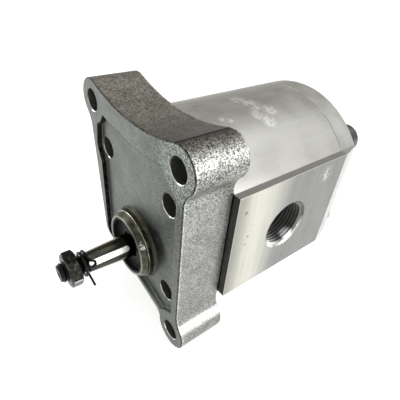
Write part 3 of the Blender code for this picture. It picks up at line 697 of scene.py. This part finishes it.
def turned_boss():
    """Oily turned band of the boss with fine rings, painted shade on its upper side, darker toward the
    face on its right, and a painted highlight in one bright patch.
    """
    p = Paint("turned_boss", (0.1, 0.095, 0.075), 0.34)
    patch = p.span(p.noise(3.5, 5, 0.65), 0.32, 0.68)
    base = p.mix(patch, (0.045, 0.045, 0.03), (0.13, 0.128, 0.094))
    # Painted shade: darker on the upper side, lighter below.
    base = p.times(base, p.span(p.z, -6, 5, 1.15, 0.72))
    # Darker toward the right of the band, where it meets the face.
    darkening = p.span(p.maths("ADD", p.x, p.product(p.y, 2.5)), 12, 18)
    base = p.over(base, (0.03, 0.029, 0.022), darkening, 0.65)
    # Painted highlight: one bright patch on the cone.
    boss_highlight = p.product(p.spot((14.4, -2.3, 10.3), 3.2, 1.0), p.span(p.noise(1.1, 3), 0.42, 0.56))
    p.colour(p.mix(boss_highlight, base, (0.95, 0.94, 0.88)))
    rings = p.noise(0.35, 2, 0.6, stretch=(0.02, 1, 0.02))
    p.roughness(p.span(rings, 0.3, 0.7, 0.28, 0.42))
    p.bump(rings, 0.03, 0.8)
    return p.mat


def port_thread():
    """Oily thread of the port, with a painted highlight low on its front side and painted shade that keeps
    it dull and dark elsewhere.
    """
    p = Paint("port_thread", (0.4, 0.4, 0.4), 0.28, 0.55)
    low = p.span(p.z, 15, 5)
    near = p.span(p.y, 66, 57)
    patch = p.span(p.noise(2.5, 3), 0.35, 0.65, 0.8, 1.0)
    # Painted highlight on the low front threads; painted shade everywhere else.
    base = p.mix(p.product(low, near), (0.17, 0.17, 0.165), (0.88, 0.88, 0.86))
    # Painted highlight: a white glint.
    glint = p.spot((41.5, 69.5, 5.0), 4.5, 2.0)
    p.colour(p.mix(glint, p.times(base, patch), (0.98, 0.98, 0.97)))
    p.bump(p.noise(0.3, 2, 0.6), 0.015, 0.5)
    return p.mat


def lit_edge(name, dark, bright):
    """Small turned edge that shines only where it faces up."""
    p = Paint(name, bright, 0.26)
    upward = p.span(p.facing["Z"], -0.05, 0.5)
    broken = p.span(p.noise(4.0, 3), 0.3, 0.6, 0.45, 1.0)
    p.colour(p.mix(p.product(upward, broken), dark, bright))
    p.bump(p.noise(0.3, 2, 0.6, stretch=(0.05, 1, 0.05)), 0.015, 0.6)
    return p.mat


def bright_cut(name, colour, roughness):
    """Fresh machined metal with fine tool marks round the y axis."""
    p = Paint(name, colour, roughness)
    worn = tuple(0.8 * c for c in colour)
    p.colour(p.mix(p.cloud(2.5, 3), worn, colour))
    p.bump(p.noise(0.3, 2, 0.6, stretch=(0.05, 1, 0.05)), 0.015, 0.7)
    return p.mat


CHALK = [
    ((0, 60, 66), 6.5), ((5, 63, 66), 6.5), ((9, 64, 65), 6.5), ((13, 70, 64), 6.5),
    ((14, 60, 64), 6.5), ((19, 63.5, 62), 6.5), ((11.5, 40, 65), 2.6), ((14, 44, 64), 2.6),
]
PAD_DOTS = [((44, 31, 37), 1.4), ((44, 35, 21.6), 1.0), ((44, 34, 17), 0.8)]


def chalk_mask(p):
    """Ragged chalky patches on top of the body."""
    spread = 0.0
    for centre, radius in CHALK:
        spread = p.maths("MAXIMUM", spread, p.spot(centre, radius))
    ragged = p.span(p.noise(3.4, 6, 0.78), 0.41, 0.52)
    broken = p.span(p.noise(0.9, 3), 0.36, 0.5, 0.4, 1.0)
    return p.product(p.span(spread, 0.1, 0.8), ragged, broken)


def pad_paint(p):
    """Milled pad: cream and bright near its front, greyer to the rear, with stains, dots and residue."""
    cream = p.mix(p.span(p.y, 40, 66), (0.72, 0.715, 0.63), (0.6, 0.6, 0.585))
    level = p.product(p.span(p.y, 27, 36, 0.5, 0.93), p.span(p.y, 42, 64, 0.92, 0.44))
    bands = p.span(p.noise(3.5, 3, 0.6, stretch=(1, 1, 0.05)), 0.3, 0.7, 0.93, 1.06)
    marks = p.product(p.span(p.noise(1.5, 4, 0.7), 0.6, 0.68), p.span(p.y, 44, 36), 0.35)
    pad = p.mix(marks, p.times(cream, p.product(level, bands)), (0.2, 0.2, 0.17))
    for centre, radius in PAD_DOTS:
        pad = p.over(pad, (0.1, 0.1, 0.08), p.spot(centre, radius, 0.3), 0.7)
    residue = p.product(p.spot((44, 86, 38.5), 6.0, 0.5), p.span(p.noise(2.4, 6, 0.78), 0.44, 0.56))
    return p.over(pad, (0.92, 0.9, 0.82), residue, 0.55)


def satin_body():
    """Extruded body: pale satin skin with faint lengthwise lines and chalky blotches on top, a painted
    highlight on its right shoulder, and painted shade in the corner where the pad's top meets the round
    body and on its front face.
    """
    p = Paint("extruded_aluminium", (0.6, 0.6, 0.58), 0.36)
    streak = p.noise(1.1, 3, 0.5, stretch=(1, 0.02, 1))
    cloud = p.cloud(16, 3)
    base = p.mix(cloud, (0.51, 0.51, 0.49), (0.59, 0.59, 0.57))
    base = p.mix(p.span(streak, 0.35, 0.65, 0.0, 0.35), base, (0.48, 0.475, 0.46))
    blotch = p.span(p.noise(7, 6, 0.65, stretch=(1, 0.4, 1)), 0.52, 0.7)
    base = p.over(base, (0.3, 0.28, 0.25), blotch, p.span(p.x, -25, 20, 0.5, 0.1))
    base = p.over(base, (0.93, 0.93, 0.89), chalk_mask(p), 0.85)
    # Painted highlight on the right shoulder, where it faces partly up.
    shoulder = p.product(p.span(p.x, 18, 36), p.span(p.facing["Z"], 0.2, 0.5))
    base = p.over(base, (0.78, 0.76, 0.7), shoulder, 0.3)
    # Painted shade in the corner where the pad's top meets the round body.
    ledge = p.product(p.span(p.x, 40.0, 40.5), p.span(p.facing["Z"], 0.88, 0.95))
    base = p.times(base, p.fade(ledge, 0.62))
    specks = p.span(p.cells(5.5, (3, 1, 2)), 0.06, 0.03)
    base = p.over(base, (0.25, 0.25, 0.23), specks, 0.5)
    base = p.mix(p.span(p.facing["X"], 0.9, 0.98), base, pad_paint(p))
    # Painted shade: faces toward the shaft end are dark, where the body's front face sits behind the front
    # cover.
    p.colour(p.mix(p.faces_front(0.8), base, (0.085, 0.085, 0.08)))
    p.roughness(p.span(cloud, 0, 1, 0.33, 0.42))
    p.bump(streak, 0.03, 0.4)
    p.bump(p.noise(0.5, 2), 0.01, 0.5)
    return p.mat


def end_plate():
    """Milled end plate, a little greyer than the body."""
    p = Paint("end_plate_aluminium", (0.45, 0.45, 0.43), 0.38)
    cloud = p.cloud(7, 4)
    p.colour(p.mix(cloud, (0.5, 0.5, 0.475), (0.62, 0.62, 0.595)))
    lines = p.noise(0.6, 2, 0.6, stretch=(1, 0.3, 0.04))
    p.roughness(p.span(lines, 0.3, 0.7, 0.33, 0.46))
    p.bump(lines, 0.02, 0.6)
    return p.mat


def turned_steel(name, low, high, roughness):
    """Paint of oiled steel turned round the y axis, and its clouded colour."""
    p = Paint(name, high, roughness)
    patch = p.cloud(3.5, 4, 0.6, stretch=(1, 0.35, 1))
    base = p.mix(patch, low, high)
    p.colour(base)
    rings = p.noise(0.3, 2, 0.6, stretch=(0.02, 1, 0.02))
    p.roughness(p.span(rings, 0.3, 0.7, roughness - 0.05, roughness + 0.08))
    p.bump(rings, 0.012, 0.8)
    return p, base


def taper_steel():
    """Oiled steel of the shaft, with a painted highlight along one line of its taper."""
    p, base = turned_steel("dark_shaft_steel", (0.034, 0.034, 0.027), (0.07, 0.069, 0.055), 0.15)
    # Painted highlight along one line of the taper, facing up and to the left.
    taper_highlight = p.product(p.span(p.toward(118), 0.965, 0.99), p.span(p.y, -6, -10))
    p.colour(p.over(base, (0.5, 0.48, 0.42), taper_highlight, 0.85))
    return p.mat


def black_oxide():
    """Blackened steel, slightly worn in patches."""
    p = Paint("blackened_steel", (0.03, 0.03, 0.03), 0.38, 0.75)
    wear = p.span(p.noise(2.2, 5, 0.65), 0.55, 0.75)
    p.colour(p.mix(wear, (0.008, 0.008, 0.008), (0.04, 0.038, 0.034)))
    p.roughness(p.span(p.noise(1.2, 3), 0.3, 0.7, 0.36, 0.55))
    p.bump(p.noise(0.7, 3), 0.03, 0.5)
    return p.mat


def worn_black(name, dark, worn, roughness, corner_highlight_share):
    """Blackened steel rubbed to a lighter brown-grey on its high spots, with a painted highlight on a
    corner.
    """
    p = Paint(name, worn, roughness, 0.9)
    rub = p.span(p.noise(1.6, 6, 0.7), 0.44, 0.66)
    # Painted highlight on the corners whose normals point along x.
    corner = p.span(p.maths("ABSOLUTE", p.facing["X"]), 0.94, 0.975)
    p.colour(p.mix(p.product(corner, corner_highlight_share), p.mix(rub, dark, worn), (0.72, 0.72, 0.7)))
    p.roughness(p.span(p.noise(1.0, 3), 0.3, 0.7, roughness - 0.06, roughness + 0.12))
    p.bump(p.noise(0.9, 4, 0.65), 0.06, 0.6)
    return p.mat


def soft_black():
    """Dull black rubber."""
    p = Paint("seal_rubber", (0.01, 0.01, 0.013), 0.5, 0.0)
    p.surface("Specular IOR Level", 0.14)
    p.colour(p.mix(p.cloud(3, 4), (0.003, 0.003, 0.004), (0.008, 0.008, 0.011)))
    p.bump(p.noise(0.4, 2), 0.01, 0.5)
    return p.mat


def plain_stock(name, low, high, roughness, metallic):
    """Even material with slight clouding."""
    p = Paint(name, high, roughness, metallic)
    p.colour(p.mix(p.cloud(3, 4), low, high))
    p.bump(p.noise(0.5, 2), 0.01, 0.5)
    return p.mat


CAST = cast_aluminium()
EDGE = dark_front_edge()
WALL = recess_wall()
BOSS = turned_boss()
RIM = bright_cut("boss_rim", (0.24, 0.24, 0.22), 0.32)
GROOVE = lit_edge("boss_groove", (0.07, 0.07, 0.055), (0.62, 0.61, 0.52))
CHAMFER = lit_edge("bright_chamfer", (0.12, 0.12, 0.115), (0.97, 0.97, 0.95))
HOLE = bright_cut("hole_wall", (0.2, 0.2, 0.175), 0.5)
BORE = bright_cut("drilled_bore", (0.055, 0.055, 0.052), 0.34)
CREASE = plain_stock("crease_shadow", (0.004, 0.004, 0.004), (0.012, 0.012, 0.011), 0.7, 0.2)
SATIN = satin_body()
THREAD = port_thread()
PLATE = end_plate()
SHAFT = taper_steel()
GEAR = turned_steel("ground_steel", (0.42, 0.42, 0.42), (0.52, 0.52, 0.52), 0.25)[0].mat
KEY = bright_cut("bright_key_steel", (0.97, 0.97, 0.96), 0.3)
BLACK = black_oxide()
NUT = worn_black("worn_blackened_steel", (0.012, 0.012, 0.011), (0.06, 0.056, 0.045), 0.3, 0.8)
WASHER = worn_black("washer_steel", (0.014, 0.014, 0.014), (0.05, 0.05, 0.048), 0.36, 0.0)
BOLT = turned_steel("bolt_steel", (0.1, 0.1, 0.102), (0.19, 0.19, 0.195), 0.34)[0].mat
RUBBER = soft_black()
BLOCK = plain_stock("bearing_aluminium", (0.58, 0.58, 0.56), (0.7, 0.7, 0.68), 0.35, 1.0)
BRONZE = plain_stock("bearing_bronze", (0.5, 0.36, 0.18), (0.62, 0.47, 0.26), 0.33, 1.0)
NYLON = plain_stock("backup_plastic", (0.76, 0.73, 0.64), (0.84, 0.81, 0.72), 0.5, 0.0)


# ---- pieces of the housing


def wavered(loop):
    """Cast edges aren't true: the recess wanders a little on its left side."""
    points = []
    for x, y, z in loop:
        share = max(0.0, min(1.0, (-18 - x) / 8))
        drift = 0.55 * noise.noise((z * 0.16, 3.1, 0.7)) + 0.3 * noise.noise((z * 0.55, 8.2, 1.9))
        points.append((x + share * drift, y, z))
    return points


def lipped(loop, wider):
    """Takes the wider loop along the upper edge of the recess, where a scribed line shows."""
    points = []
    for near, far in zip(loop, wider):
        share = max(0.0, min(1.0, (near[2] - 30) / 6))
        points.append(tuple(a + share * (b - a) for a, b in zip(near, far)))
    return points


def recess_cutter():
    """Cutter for the recess, in (grow, y) steps: a broken edge, a steep wall and a rounded foot."""
    corners = recess_corners()
    steps = [(0.35, -1.0), (0.22, 0.0), (0.08, 0.10), (0.0, 0.32)]
    steps += [(-RECESS_DRAFT - depth, RECESS_DEPTH - inset) for inset, depth in edge_round(RECESS_FOOT, 5)]
    loops = [wavered(at(rounded(corners, grow), y)) for grow, y in steps]
    for i in (0, 1):
        loops[i] = lipped(loops[i], wavered(at(rounded(corners, SCRIBED_LINE), steps[i][1])))
    return skinned(loops, [0] + [1] * 6 + [0] * 2)


def hole_cutter(places, radius, start, end, chamfer, both=True, segments=64):
    """Cutter for equal holes along y, with a chamfer at the front end or at both ends."""
    profile = [(0, start - 1), (radius + chamfer + 1, start - 1), (radius, start + chamfer)]
    marks = [1, 1, 0]
    if both:
        profile += [(radius, end - chamfer), (radius + chamfer + 1, end + 1), (0, end + 1)]
        marks += [1, 1, 0]
    else:
        profile += [(radius, end + 1), (0, end + 1)]
        marks += [0, 0]
    return merged([turned(profile, segments, place, marks) for place in places])


def thickening(radius, segments, centre=(0, 0)):
    """Round thickening of the cover behind its face."""
    end = COVER_T - 0.4
    profile = [(0, THICKENING_Y)]
    profile += [(radius - inset, THICKENING_Y + depth) for inset, depth in edge_round(2.0, 6)]
    profile += [(radius, end - 0.4), (radius - 0.4, end), (0, end)]
    return turned(profile, segments, centre)


def pin(radius, start, segments, centre):
    """Plain cylinder from start to past the back of the front cover."""
    end = COVER_T + 1.5
    return turned([(0, start), (radius, start), (radius, end), (0, end)], segments, centre)


def pilot_boss():
    """Boss round the shaft: a bright rim, an oily band, a bright groove and a foot that flares out."""
    profile = [
        (0, BOSS_FACE_Y), (15.85, BOSS_FACE_Y), (16.1, -4.42), (16.3, -4.15),
        (16.9, -3.2), (17.55, -1.95), (17.6, -1.75), (17.3, -1.55), (17.3, -1.35),
        (18.05, -1.15), (18.2, -0.95), (18.2, 0.85), (18.32, 1.25), (18.62, 1.65), (19.05, 2.0),
        (19.4, 2.25), (19.55, 2.5), (19.55, 4.5), (0, 4.5),
    ]
    return turned(profile, 160, marks=[1] * 3 + [0] * 3 + [2] * 4 + [0] * 7 + [3] * 2)


def boss_bore():
    """Bore that takes the shaft seal, and the narrower passage behind it."""
    seat = SEAL_BACK_Y + 0.2
    profile = [
        (0, BOSS_FACE_Y - 1), (BOSS_BORE + 0.6, BOSS_FACE_Y - 1), (BOSS_BORE + 0.35, BOSS_FACE_Y),
        (BOSS_BORE, BOSS_FACE_Y + 0.4), (BOSS_BORE, seat), (SHAFT_PASSAGE, seat),
        (SHAFT_PASSAGE, COVER_T + 1), (0, COVER_T + 1),
    ]
    return turned(profile, 128, marks=[1] * 3 + [0] * 5)


def build_front_cover():
    """Cast flange with its recess, boss, ear holes and tie-bolt holes."""
    corners = cover_corners()
    front = edge_round(0.5)
    back = edge_round(0.6)[::-1]
    loops = [at(rounded(corners, -inset), depth) for inset, depth in front]
    loops += [at(rounded(corners, -inset), COVER_T - depth) for inset, depth in back]
    marks = [1] * (len(front) - 1) + [0] * len(back)
    cover = piece("front_cover_casting", skinned(loops, marks), [CAST, EDGE])
    combine(cover, "UNION", thickening(28.0, 128), [CAST])
    combine(cover, "UNION", thickening(8.8, 64, BLIND_BOLT), [CAST])
    cut(cover, recess_cutter(), [CAST, WALL])
    combine(cover, "UNION", pilot_boss(), [BOSS, RIM, GROOVE, CAST])
    cut(cover, boss_bore(), [BORE, RIM])
    ears = [HIGH_LEFT[0], HIGH_RIGHT[0], LOW_RIGHT[0]]
    cut(cover, hole_cutter(ears, EAR_HOLE, 0, COVER_T, 0.32), [HOLE, CHAMFER])
    through = [place for place in BOLT_PLACES if place != BLIND_BOLT]
    cut(cover, hole_cutter(through, BOLT_HOLE, RECESS_DEPTH, COVER_T, 0.28, False), [HOLE, CHAMFER])
    cut(cover, pin(BOLT_HOLE, BLIND_END, 48, BLIND_BOLT), [BORE])
    crease = polar(HIGH_RIGHT[0], EAR_RADIUS + 0.05, CREASE_ANGLE)
    cut(cover, pin(CREASE_RADIUS, -1, 20, crease), [CREASE])
    stands_for(settle(cover), "housing", "cast_aluminium", "front_cover")


def port_cutter(root, crest, side):
    """Threaded port, from its chamfer at the pad to the passage that meets the gears."""
    face = -PAD_X
    depth = face + 0.9
    profile = [(0, face - 1), (root + 1.9, face - 1), (root, depth)]
    marks = [1, 1, 0]
    while depth + PORT_PITCH < face + THREAD_DEPTH:
        profile += [(root, depth + 0.1 * PORT_PITCH), (crest, depth + 0.45 * PORT_PITCH),
                    (crest, depth + 0.65 * PORT_PITCH), (root, depth + PORT_PITCH)]
        marks += [0, 0, 0, 0]
        depth += PORT_PITCH
    profile += [(root, face + 17), (PASSAGE_RADIUS, face + 18.6), (PASSAGE_RADIUS, -6), (0, -6)]
    marks += [0, 0, 0, 0]
    turn = Matrix.Rotation(radians(90 if side > 0 else -90), 4, "Z")
    return moved(turned(profile, 96, marks=marks), Matrix.Translation((0, PORT_Y, BODY_Z)) @ turn)


def slab(front, rear, start, end):
    """Solid with slightly rounded edges; front and rear are the corners at its two ends."""
    ends = edge_round(0.3, 3)
    loops = [at(rounded(front, -inset, 15), start + depth) for inset, depth in ends]
    return skinned(loops + [at(rounded(rear, -inset, 15), end - depth) for inset, depth in ends[::-1]])


def build_body():
    """Extruded body with the gear chamber, two ports and the tie-bolt holes."""
    corners = body_corners(PAD_X)
    body = piece("pump_body_satin", slab(corners, corners, BODY_START, BODY_END), [SATIN])
    cut(body, prism(figure_eight(CHAMBER_RADIUS), BODY_START - 1, BODY_END + 1), [THREAD])
    cut(body, port_cutter(*INLET_THREAD, 1), [THREAD, CHAMFER])
    cut(body, port_cutter(*OUTLET_THREAD, -1), [THREAD, CHAMFER])
    holes = hole_cutter(BOLT_PLACES, BOLT_HOLE, BODY_START, BODY_END, 0.2, True, 32)
    cut(body, holes, [BORE, THREAD])
    stands_for(settle(body), "housing", "extruded_aluminium", "pump_body")


def build_rear_cover():
    """End plate whose flats slope in from the port pads."""
    front = body_corners(PAD_X - 0.02)
    rear = body_corners(REAR_FLAT_X + PAD_FILLET)
    cover = piece("rear_cover_plate", slab(front, rear, REAR_START, REAR_END), [PLATE])
    holes = hole_cutter(BOLT_PLACES, BOLT_HOLE, REAR_START, REAR_END, 0.2, True, 32)
    cut(cover, holes, [BORE, CHAMFER])
    stands_for(settle(cover), "housing", "end_plate_aluminium", "rear_cover")


def hexagon(across_flats, corner, centre=(0, 0)):
    """Corners of a hexagon, for rounded()."""
    reach = across_flats / sqrt(3) - corner * (2 / sqrt(3))
    return [(polar(centre, reach, radians(60 * i)), corner) for i in range(6)]


def threaded(root, crest, pitch, start, end):
    """Profile points of plain thread rings between two places."""
    points = []
    y = start
    while y + pitch <= end:
        points += [(root, y), (crest, y + 0.42 * pitch), (crest, y + 0.58 * pitch)]
        y += pitch
    return points + [(root, y)]


def build_tie_bolts():
    """Four socket screws that hold the pump together, each with its washer."""
    head = [(HEAD_R - 0.3, HEAD_START), (HEAD_R, HEAD_START + 0.3)]
    head += [(HEAD_R - inset, HEAD_END - depth) for inset, depth in edge_round(0.9, 5)[::-1]]
    low, high = WASHER_START, WASHER_END
    ring = [(5.2, low), (9.5, low), (9.8, low + 0.3), (9.8, high - 0.3), (9.5, high), (5.2, high)]
    for number, place in enumerate(BOLT_PLACES, 1):
        tip = BLIND_END + 1 if place == BLIND_BOLT else 8.5
        profile = [(0, tip), (BOLT_R - 0.8, tip), (BOLT_R - 0.3, tip + 0.6)]
        profile += threaded(BOLT_R - 0.55, BOLT_R, SCREW_PITCH, tip + 0.8, 28)
        profile += [(BOLT_R, 30), (BOLT_R, HEAD_START)] + head + [(0, HEAD_END)]
        bolt = piece(f"socket_screw_{number}", turned(profile, 96, place), [BOLT])
        socket = rounded(hexagon(SOCKET_ACROSS, 0.1, place), step=30)
        cut(bolt, prism(socket, HEAD_END - SOCKET_DEPTH, HEAD_END + 1), [BLACK])
        stands_for(settle(bolt), "housing", "bolt_steel", f"tie_bolt_{number}")
        washer = settle(piece(f"plain_washer_{number}", turned(ring, 80, place), [BOLT]))
        stands_for(washer, "housing", "bolt_steel", f"bolt_washer_{number}")


def build_shaft_seal():
    """Rubber lip seal in the boss, with folds between its lip and its outer edge."""
    face = SEAL_FACE_Y
    profile = [
        (6.9, face - 0.5), (8.8, face - 0.2), (9.4, face), (10.6, face - 0.1), (10.9, face - 0.55),
        (11.5, face - 0.55), (11.8, face), (13.3, face + 0.1), (13.9, face - 0.3), (14.1, face - 1.0),
        (14.1, -3.9), (14.3, -4.2), (14.9, -4.2), (14.9, SEAL_BACK_Y), (13.3, SEAL_BACK_Y),
        (13.3, face + 1.5), (10.2, face + 1.5), (9.4, face + 5.2), (8.2, face + 5.2), (8.2, face + 0.9),
        (6.9, face - 0.2),
    ]
    seal = settle(piece("shaft_lip_seal", turned(profile, 112), [RUBBER]), 50)
    stands_for(seal, "housing", "seal_rubber", "shaft_seal")


# ---- pieces that turn with the shaft


def key_plan(extra):
    """Plan of the key with its round ends, moved out by extra."""
    half = KEY_HALF_WIDTH + extra
    rear = (0, KEY_REAR_Y + extra - half)
    front = (0, KEY_FRONT_Y - extra + half)
    step = radians(9)
    return arc(rear, half, 0, pi, step) + arc(front, half, pi, tau, step)


def key_block(levels):
    """Key with round ends from (inset, height) levels, turned to its place on the shaft."""
    loops = [[(x, y, height) for x, y in key_plan(-inset)] for inset, height in levels]
    return moved(skinned(loops), Matrix.Rotation(pi / 2 - KEY_ANGLE, 4, "Y"))


def build_drive_shaft():
    """Threaded end, taper with its keyway, journals and gear in one piece."""
    thread = threaded(SCREW_ROOT, SCREW_CREST, SCREW_PITCH, -38.0, -26.2)
    tip = [(0, -37.4), (1.3, -38.8), (3.9, -38.8), (SCREW_ROOT, -38.5)]
    taper = [(SCREW_ROOT, -25.95), (4.7, -25.8), (5.1, -25.5), (6.26, -1.6), (7.8, -0.2)]
    journal = [(JOURNAL_R, 0.1), (JOURNAL_R, JOURNAL_END - 0.3), (JOURNAL_R - 0.3, JOURNAL_END)]
    profile = tip + thread + taper + journal + [(0, JOURNAL_END)]
    marks = [1] * (len(tip + thread) + 1) + [0] * len(taper + journal)
    shaft = piece("drive_shaft_steel", turned(profile, 112, marks=marks), [SHAFT, BLACK])
    combine(shaft, "UNION", prism(gear_outline(pi / 2), GEAR_START, GEAR_END), [GEAR])
    # The keyway faces round the key take the black material: a painted shadow line along the key.
    cut(shaft, key_block([(-0.12, 2.85), (-0.12, 9.0)]), [BLACK])
    stands_for(settle(shaft), "drive_shaft", "dark_shaft_steel", "drive_gear")


def build_key():
    """Bright key that stands proud of the taper."""
    levels = [(0.0, 3.0)]
    levels += [(inset, KEY_TOP - depth) for inset, depth in edge_round(0.18, 3)[::-1]]
    key = settle(piece("flat_key", key_block(levels), [KEY]))
    stands_for(key, "drive_shaft", "bright_key_steel", "shaft_key")


def build_nut():
    """Hexagon nut on the threaded end, with a double cone that bevels both its faces."""
    outline = rounded(hexagon(NUT_ACROSS, 1.5), step=12)
    nut = piece("hex_nut", prism(outline, NUT_START, NUT_END), [NUT])
    inner = NUT_ACROSS / 2 * 0.95
    outer = NUT_ACROSS / sqrt(3) + 0.4
    drop = (outer - inner) * tan(radians(32))
    cone = [
        (0, NUT_START), (inner, NUT_START), (outer, NUT_START + drop),
        (outer, NUT_END - drop), (inner, NUT_END), (0, NUT_END),
    ]
    combine(nut, "INTERSECT", turned(cone, 96), [NUT])
    bore = [
        (0, NUT_START - 1), (NUT_BORE + 0.5, NUT_START - 1), (NUT_BORE, NUT_START + 0.3),
        (NUT_BORE, NUT_END - 0.3), (6.2, NUT_END + 1), (0, NUT_END + 1),
    ]
    cut(nut, turned(bore, 64), [BLACK])
    stands_for(settle(nut, 50), "drive_shaft", "blackened_steel", "shaft_nut")


def build_spring_washer():
    """Split washer: a square section carried round the shaft with its ends a little apart."""
    section = [(5.35, -27.92), (5.5, -28.0), (6.25, -28.0), (6.4, -27.85),
               (6.4, -27.15), (6.25, -27.0), (5.5, -27.0), (5.35, -27.08)]
    loops = []
    count = 90
    for i in range(count + 1):
        angle = radians(-118 + 356 * i / count)
        lift = 0.16 * (i / count - 0.5)
        loops.append([(r * cos(angle), y + lift, r * sin(angle)) for r, y in section])
    washer = settle(piece("split_washer", skinned(loops), [WASHER]))
    stands_for(washer, "drive_shaft", "blackened_steel", "spring_washer")


def around_shaft(angle, radius, y):
    """Point at a radius and an angle round the shaft axis."""
    return Vector((radius * cos(angle), y, radius * sin(angle)))


def wire_path():
    """Eye on top of the key, then half a turn round the back of the shaft and a straight tail."""
    points = []
    turns = 28
    for i in range(turns + 1):
        phase = radians(290) * (1 - i / turns)
        spot = around_shaft(KEY_ANGLE, EYE_HEIGHT, EYE_Y + EYE_HALF_LENGTH * sin(phase))
        points.append(spot + around_shaft(KEY_ANGLE + pi / 2, EYE_HALF_WIDTH * cos(phase), 0))
    points.append(around_shaft(KEY_ANGLE + radians(16), 7.5, -25.1))
    points.append(around_shaft(KEY_ANGLE + radians(27), 6.55, -25.5))
    for x, z in arc((0, 0), WIRE_COIL, COIL_START, COIL_END, radians(8)):
        points.append(Vector((x, WIRE_Y, z)))
    away = around_shaft(COIL_END + pi / 2, WIRE_TAIL, 0)
    start = points[-1]
    points += [start + away * share for share in (0.25, 0.5, 0.75, 1.0)]
    return points


def build_wire():
    """Thin black wire with an eye over the key and a loose tail."""
    curve = bpy.data.curves.new("key_wire_loop", "CURVE")
    curve.dimensions = "3D"
    curve.bevel_depth = WIRE_RADIUS * MM
    curve.bevel_resolution = 4
    curve.use_fill_caps = True
    path = wire_path()
    spline = curve.splines.new("NURBS")
    spline.points.add(len(path) - 1)
    for point, place in zip(spline.points, path):
        point.co = (*(place * MM + ORIGIN), 1)
    spline.order_u = 4
    spline.use_endpoint_u = True
    spline.resolution_u = 4
    curve.materials.append(BLACK)
    wire = linked("key_wire_loop", curve)
    stands_for(wire, "drive_shaft", "blackened_steel", "key_wire")


def dress_inner_nodes():
    """Materials of the CAD parts that stay as they are, inside the housing."""
    coats = {
        "block": BLOCK, "bush": BRONZE, "backup": NYLON, "spring": GEAR,
        "dowel": GEAR, "driven": GEAR, "seal": RUBBER,
    }
    for name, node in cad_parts.items():
        if node.hide_render:
            continue
        coat = next(coat for word, coat in coats.items() if word in name)
        node.data.materials.clear()
        node.data.materials.append(coat)


# ---- stage


def build_camera():
    """The viewpoint, from a turn of the viewer's axes against the pump's and a place in millimetres."""
    turn = Vector((1.9943886837, 1.0371932970, -0.4147507613))
    rows = Quaternion(turn.normalized(), turn.length).to_matrix()
    place = Vector((120.725, -62.026, 130.958))
    data = bpy.data.cameras.new("camera")
    data.sensor_width = 36.0
    data.lens = 32.004
    data.clip_start = 0.005
    camera = linked("camera", data)
    axes = Matrix((rows[0], -rows[1], -rows[2])).transposed()
    camera.matrix_world = Matrix.Translation(place * MM + ORIGIN) @ axes.to_4x4()
    bpy.context.scene.camera = camera


def area_light(name, direction, distance, size, radiance):
    """Rectangular soft light that faces the middle of the pump from a direction."""
    data = bpy.data.lights.new(name, "AREA")
    data.shape = "RECTANGLE"
    data.size, data.size_y = size
    data.energy = radiance * pi * size[0] * size[1]
    light = linked(name, data)
    toward = Vector(direction).normalized()
    light.location = PUMP_MIDDLE + toward * distance
    light.rotation_euler = toward.to_track_quat("Z", "Y").to_euler()


def build_floor():
    """White floor just under the pump."""
    p = Paint("studio_floor", (0.86, 0.86, 0.86), 0.9, 0.0)
    p.surface("Specular IOR Level", 0.1)
    p.surface("Emission Color", (1, 1, 1))
    p.surface("Emission Strength", 0.55)
    mesh = bpy.data.meshes.new("studio_floor")
    side = 3.0
    corners = [(x, y, -0.0002) for x, y in ((-side, -side), (side, -side), (side, side), (-side, side))]
    mesh.from_pydata(corners, [], [(0, 1, 2, 3)])
    mesh.materials.append(p.mat)
    linked("studio_floor", mesh)


def build_world():
    """Soft white room, dimmer toward the upper left behind the pump. The background itself is white."""
    world = bpy.data.worlds.new("studio")
    world.use_nodes = True
    bpy.context.scene.world = world
    tree = world.node_tree
    tree.nodes.clear()
    coords = add_node(tree, "TexCoord").outputs["Generated"]
    behind = Vector((-0.72, 0.52, 0.46)).normalized()
    dim = add_node(tree, "VectorMath", {0: coords, 1: behind}, operation="DOT_PRODUCT")
    ramp = add_node(tree, "ValToRGB", {0: dim.outputs["Value"]})
    stops = ((0.45, (0.62, 0.62, 0.62, 1)), (0.95, (0.46, 0.445, 0.415, 1)))
    for element, stop in zip(ramp.color_ramp.elements, stops):
        element.position, element.color = stop
    room = add_node(tree, "Background", {"Color": ramp.outputs[0]}).outputs[0]
    white = add_node(tree, "Background", {"Color": (1, 1, 1)}).outputs[0]
    ray = add_node(tree, "LightPath").outputs["Is Camera Ray"]
    pick = add_node(tree, "MixShader", {0: ray, 1: room, 2: white}).outputs[0]
    add_node(tree, "OutputWorld", {"Surface": pick})


def build_stage():
    """Camera, floor, room and lights."""
    build_camera()
    build_floor()
    build_world()
    area_light("window_right", (0.889, 0.279, 0.363), 0.55, (0.34, 0.26), 3.2)
    area_light("shoulder_window", (0.33, 0.69, 0.64), 0.9, (0.55, 0.5), 0.35)
    area_light("lamp_left", (-0.76, -0.45, 0.43), 0.6, (0.26, 0.26), 3.0)
    area_light("ceiling", (0.15, 0.2, 1.0), 0.8, (0.8, 0.8), 0.9)
    bpy.context.scene.view_settings.view_transform = "Standard"


build_stage()
build_front_cover()
build_body()
build_rear_cover()
build_tie_bolts()
build_shaft_seal()
build_drive_shaft()
build_key()
build_nut()
build_spring_washer()
build_wire()
dress_inner_nodes()
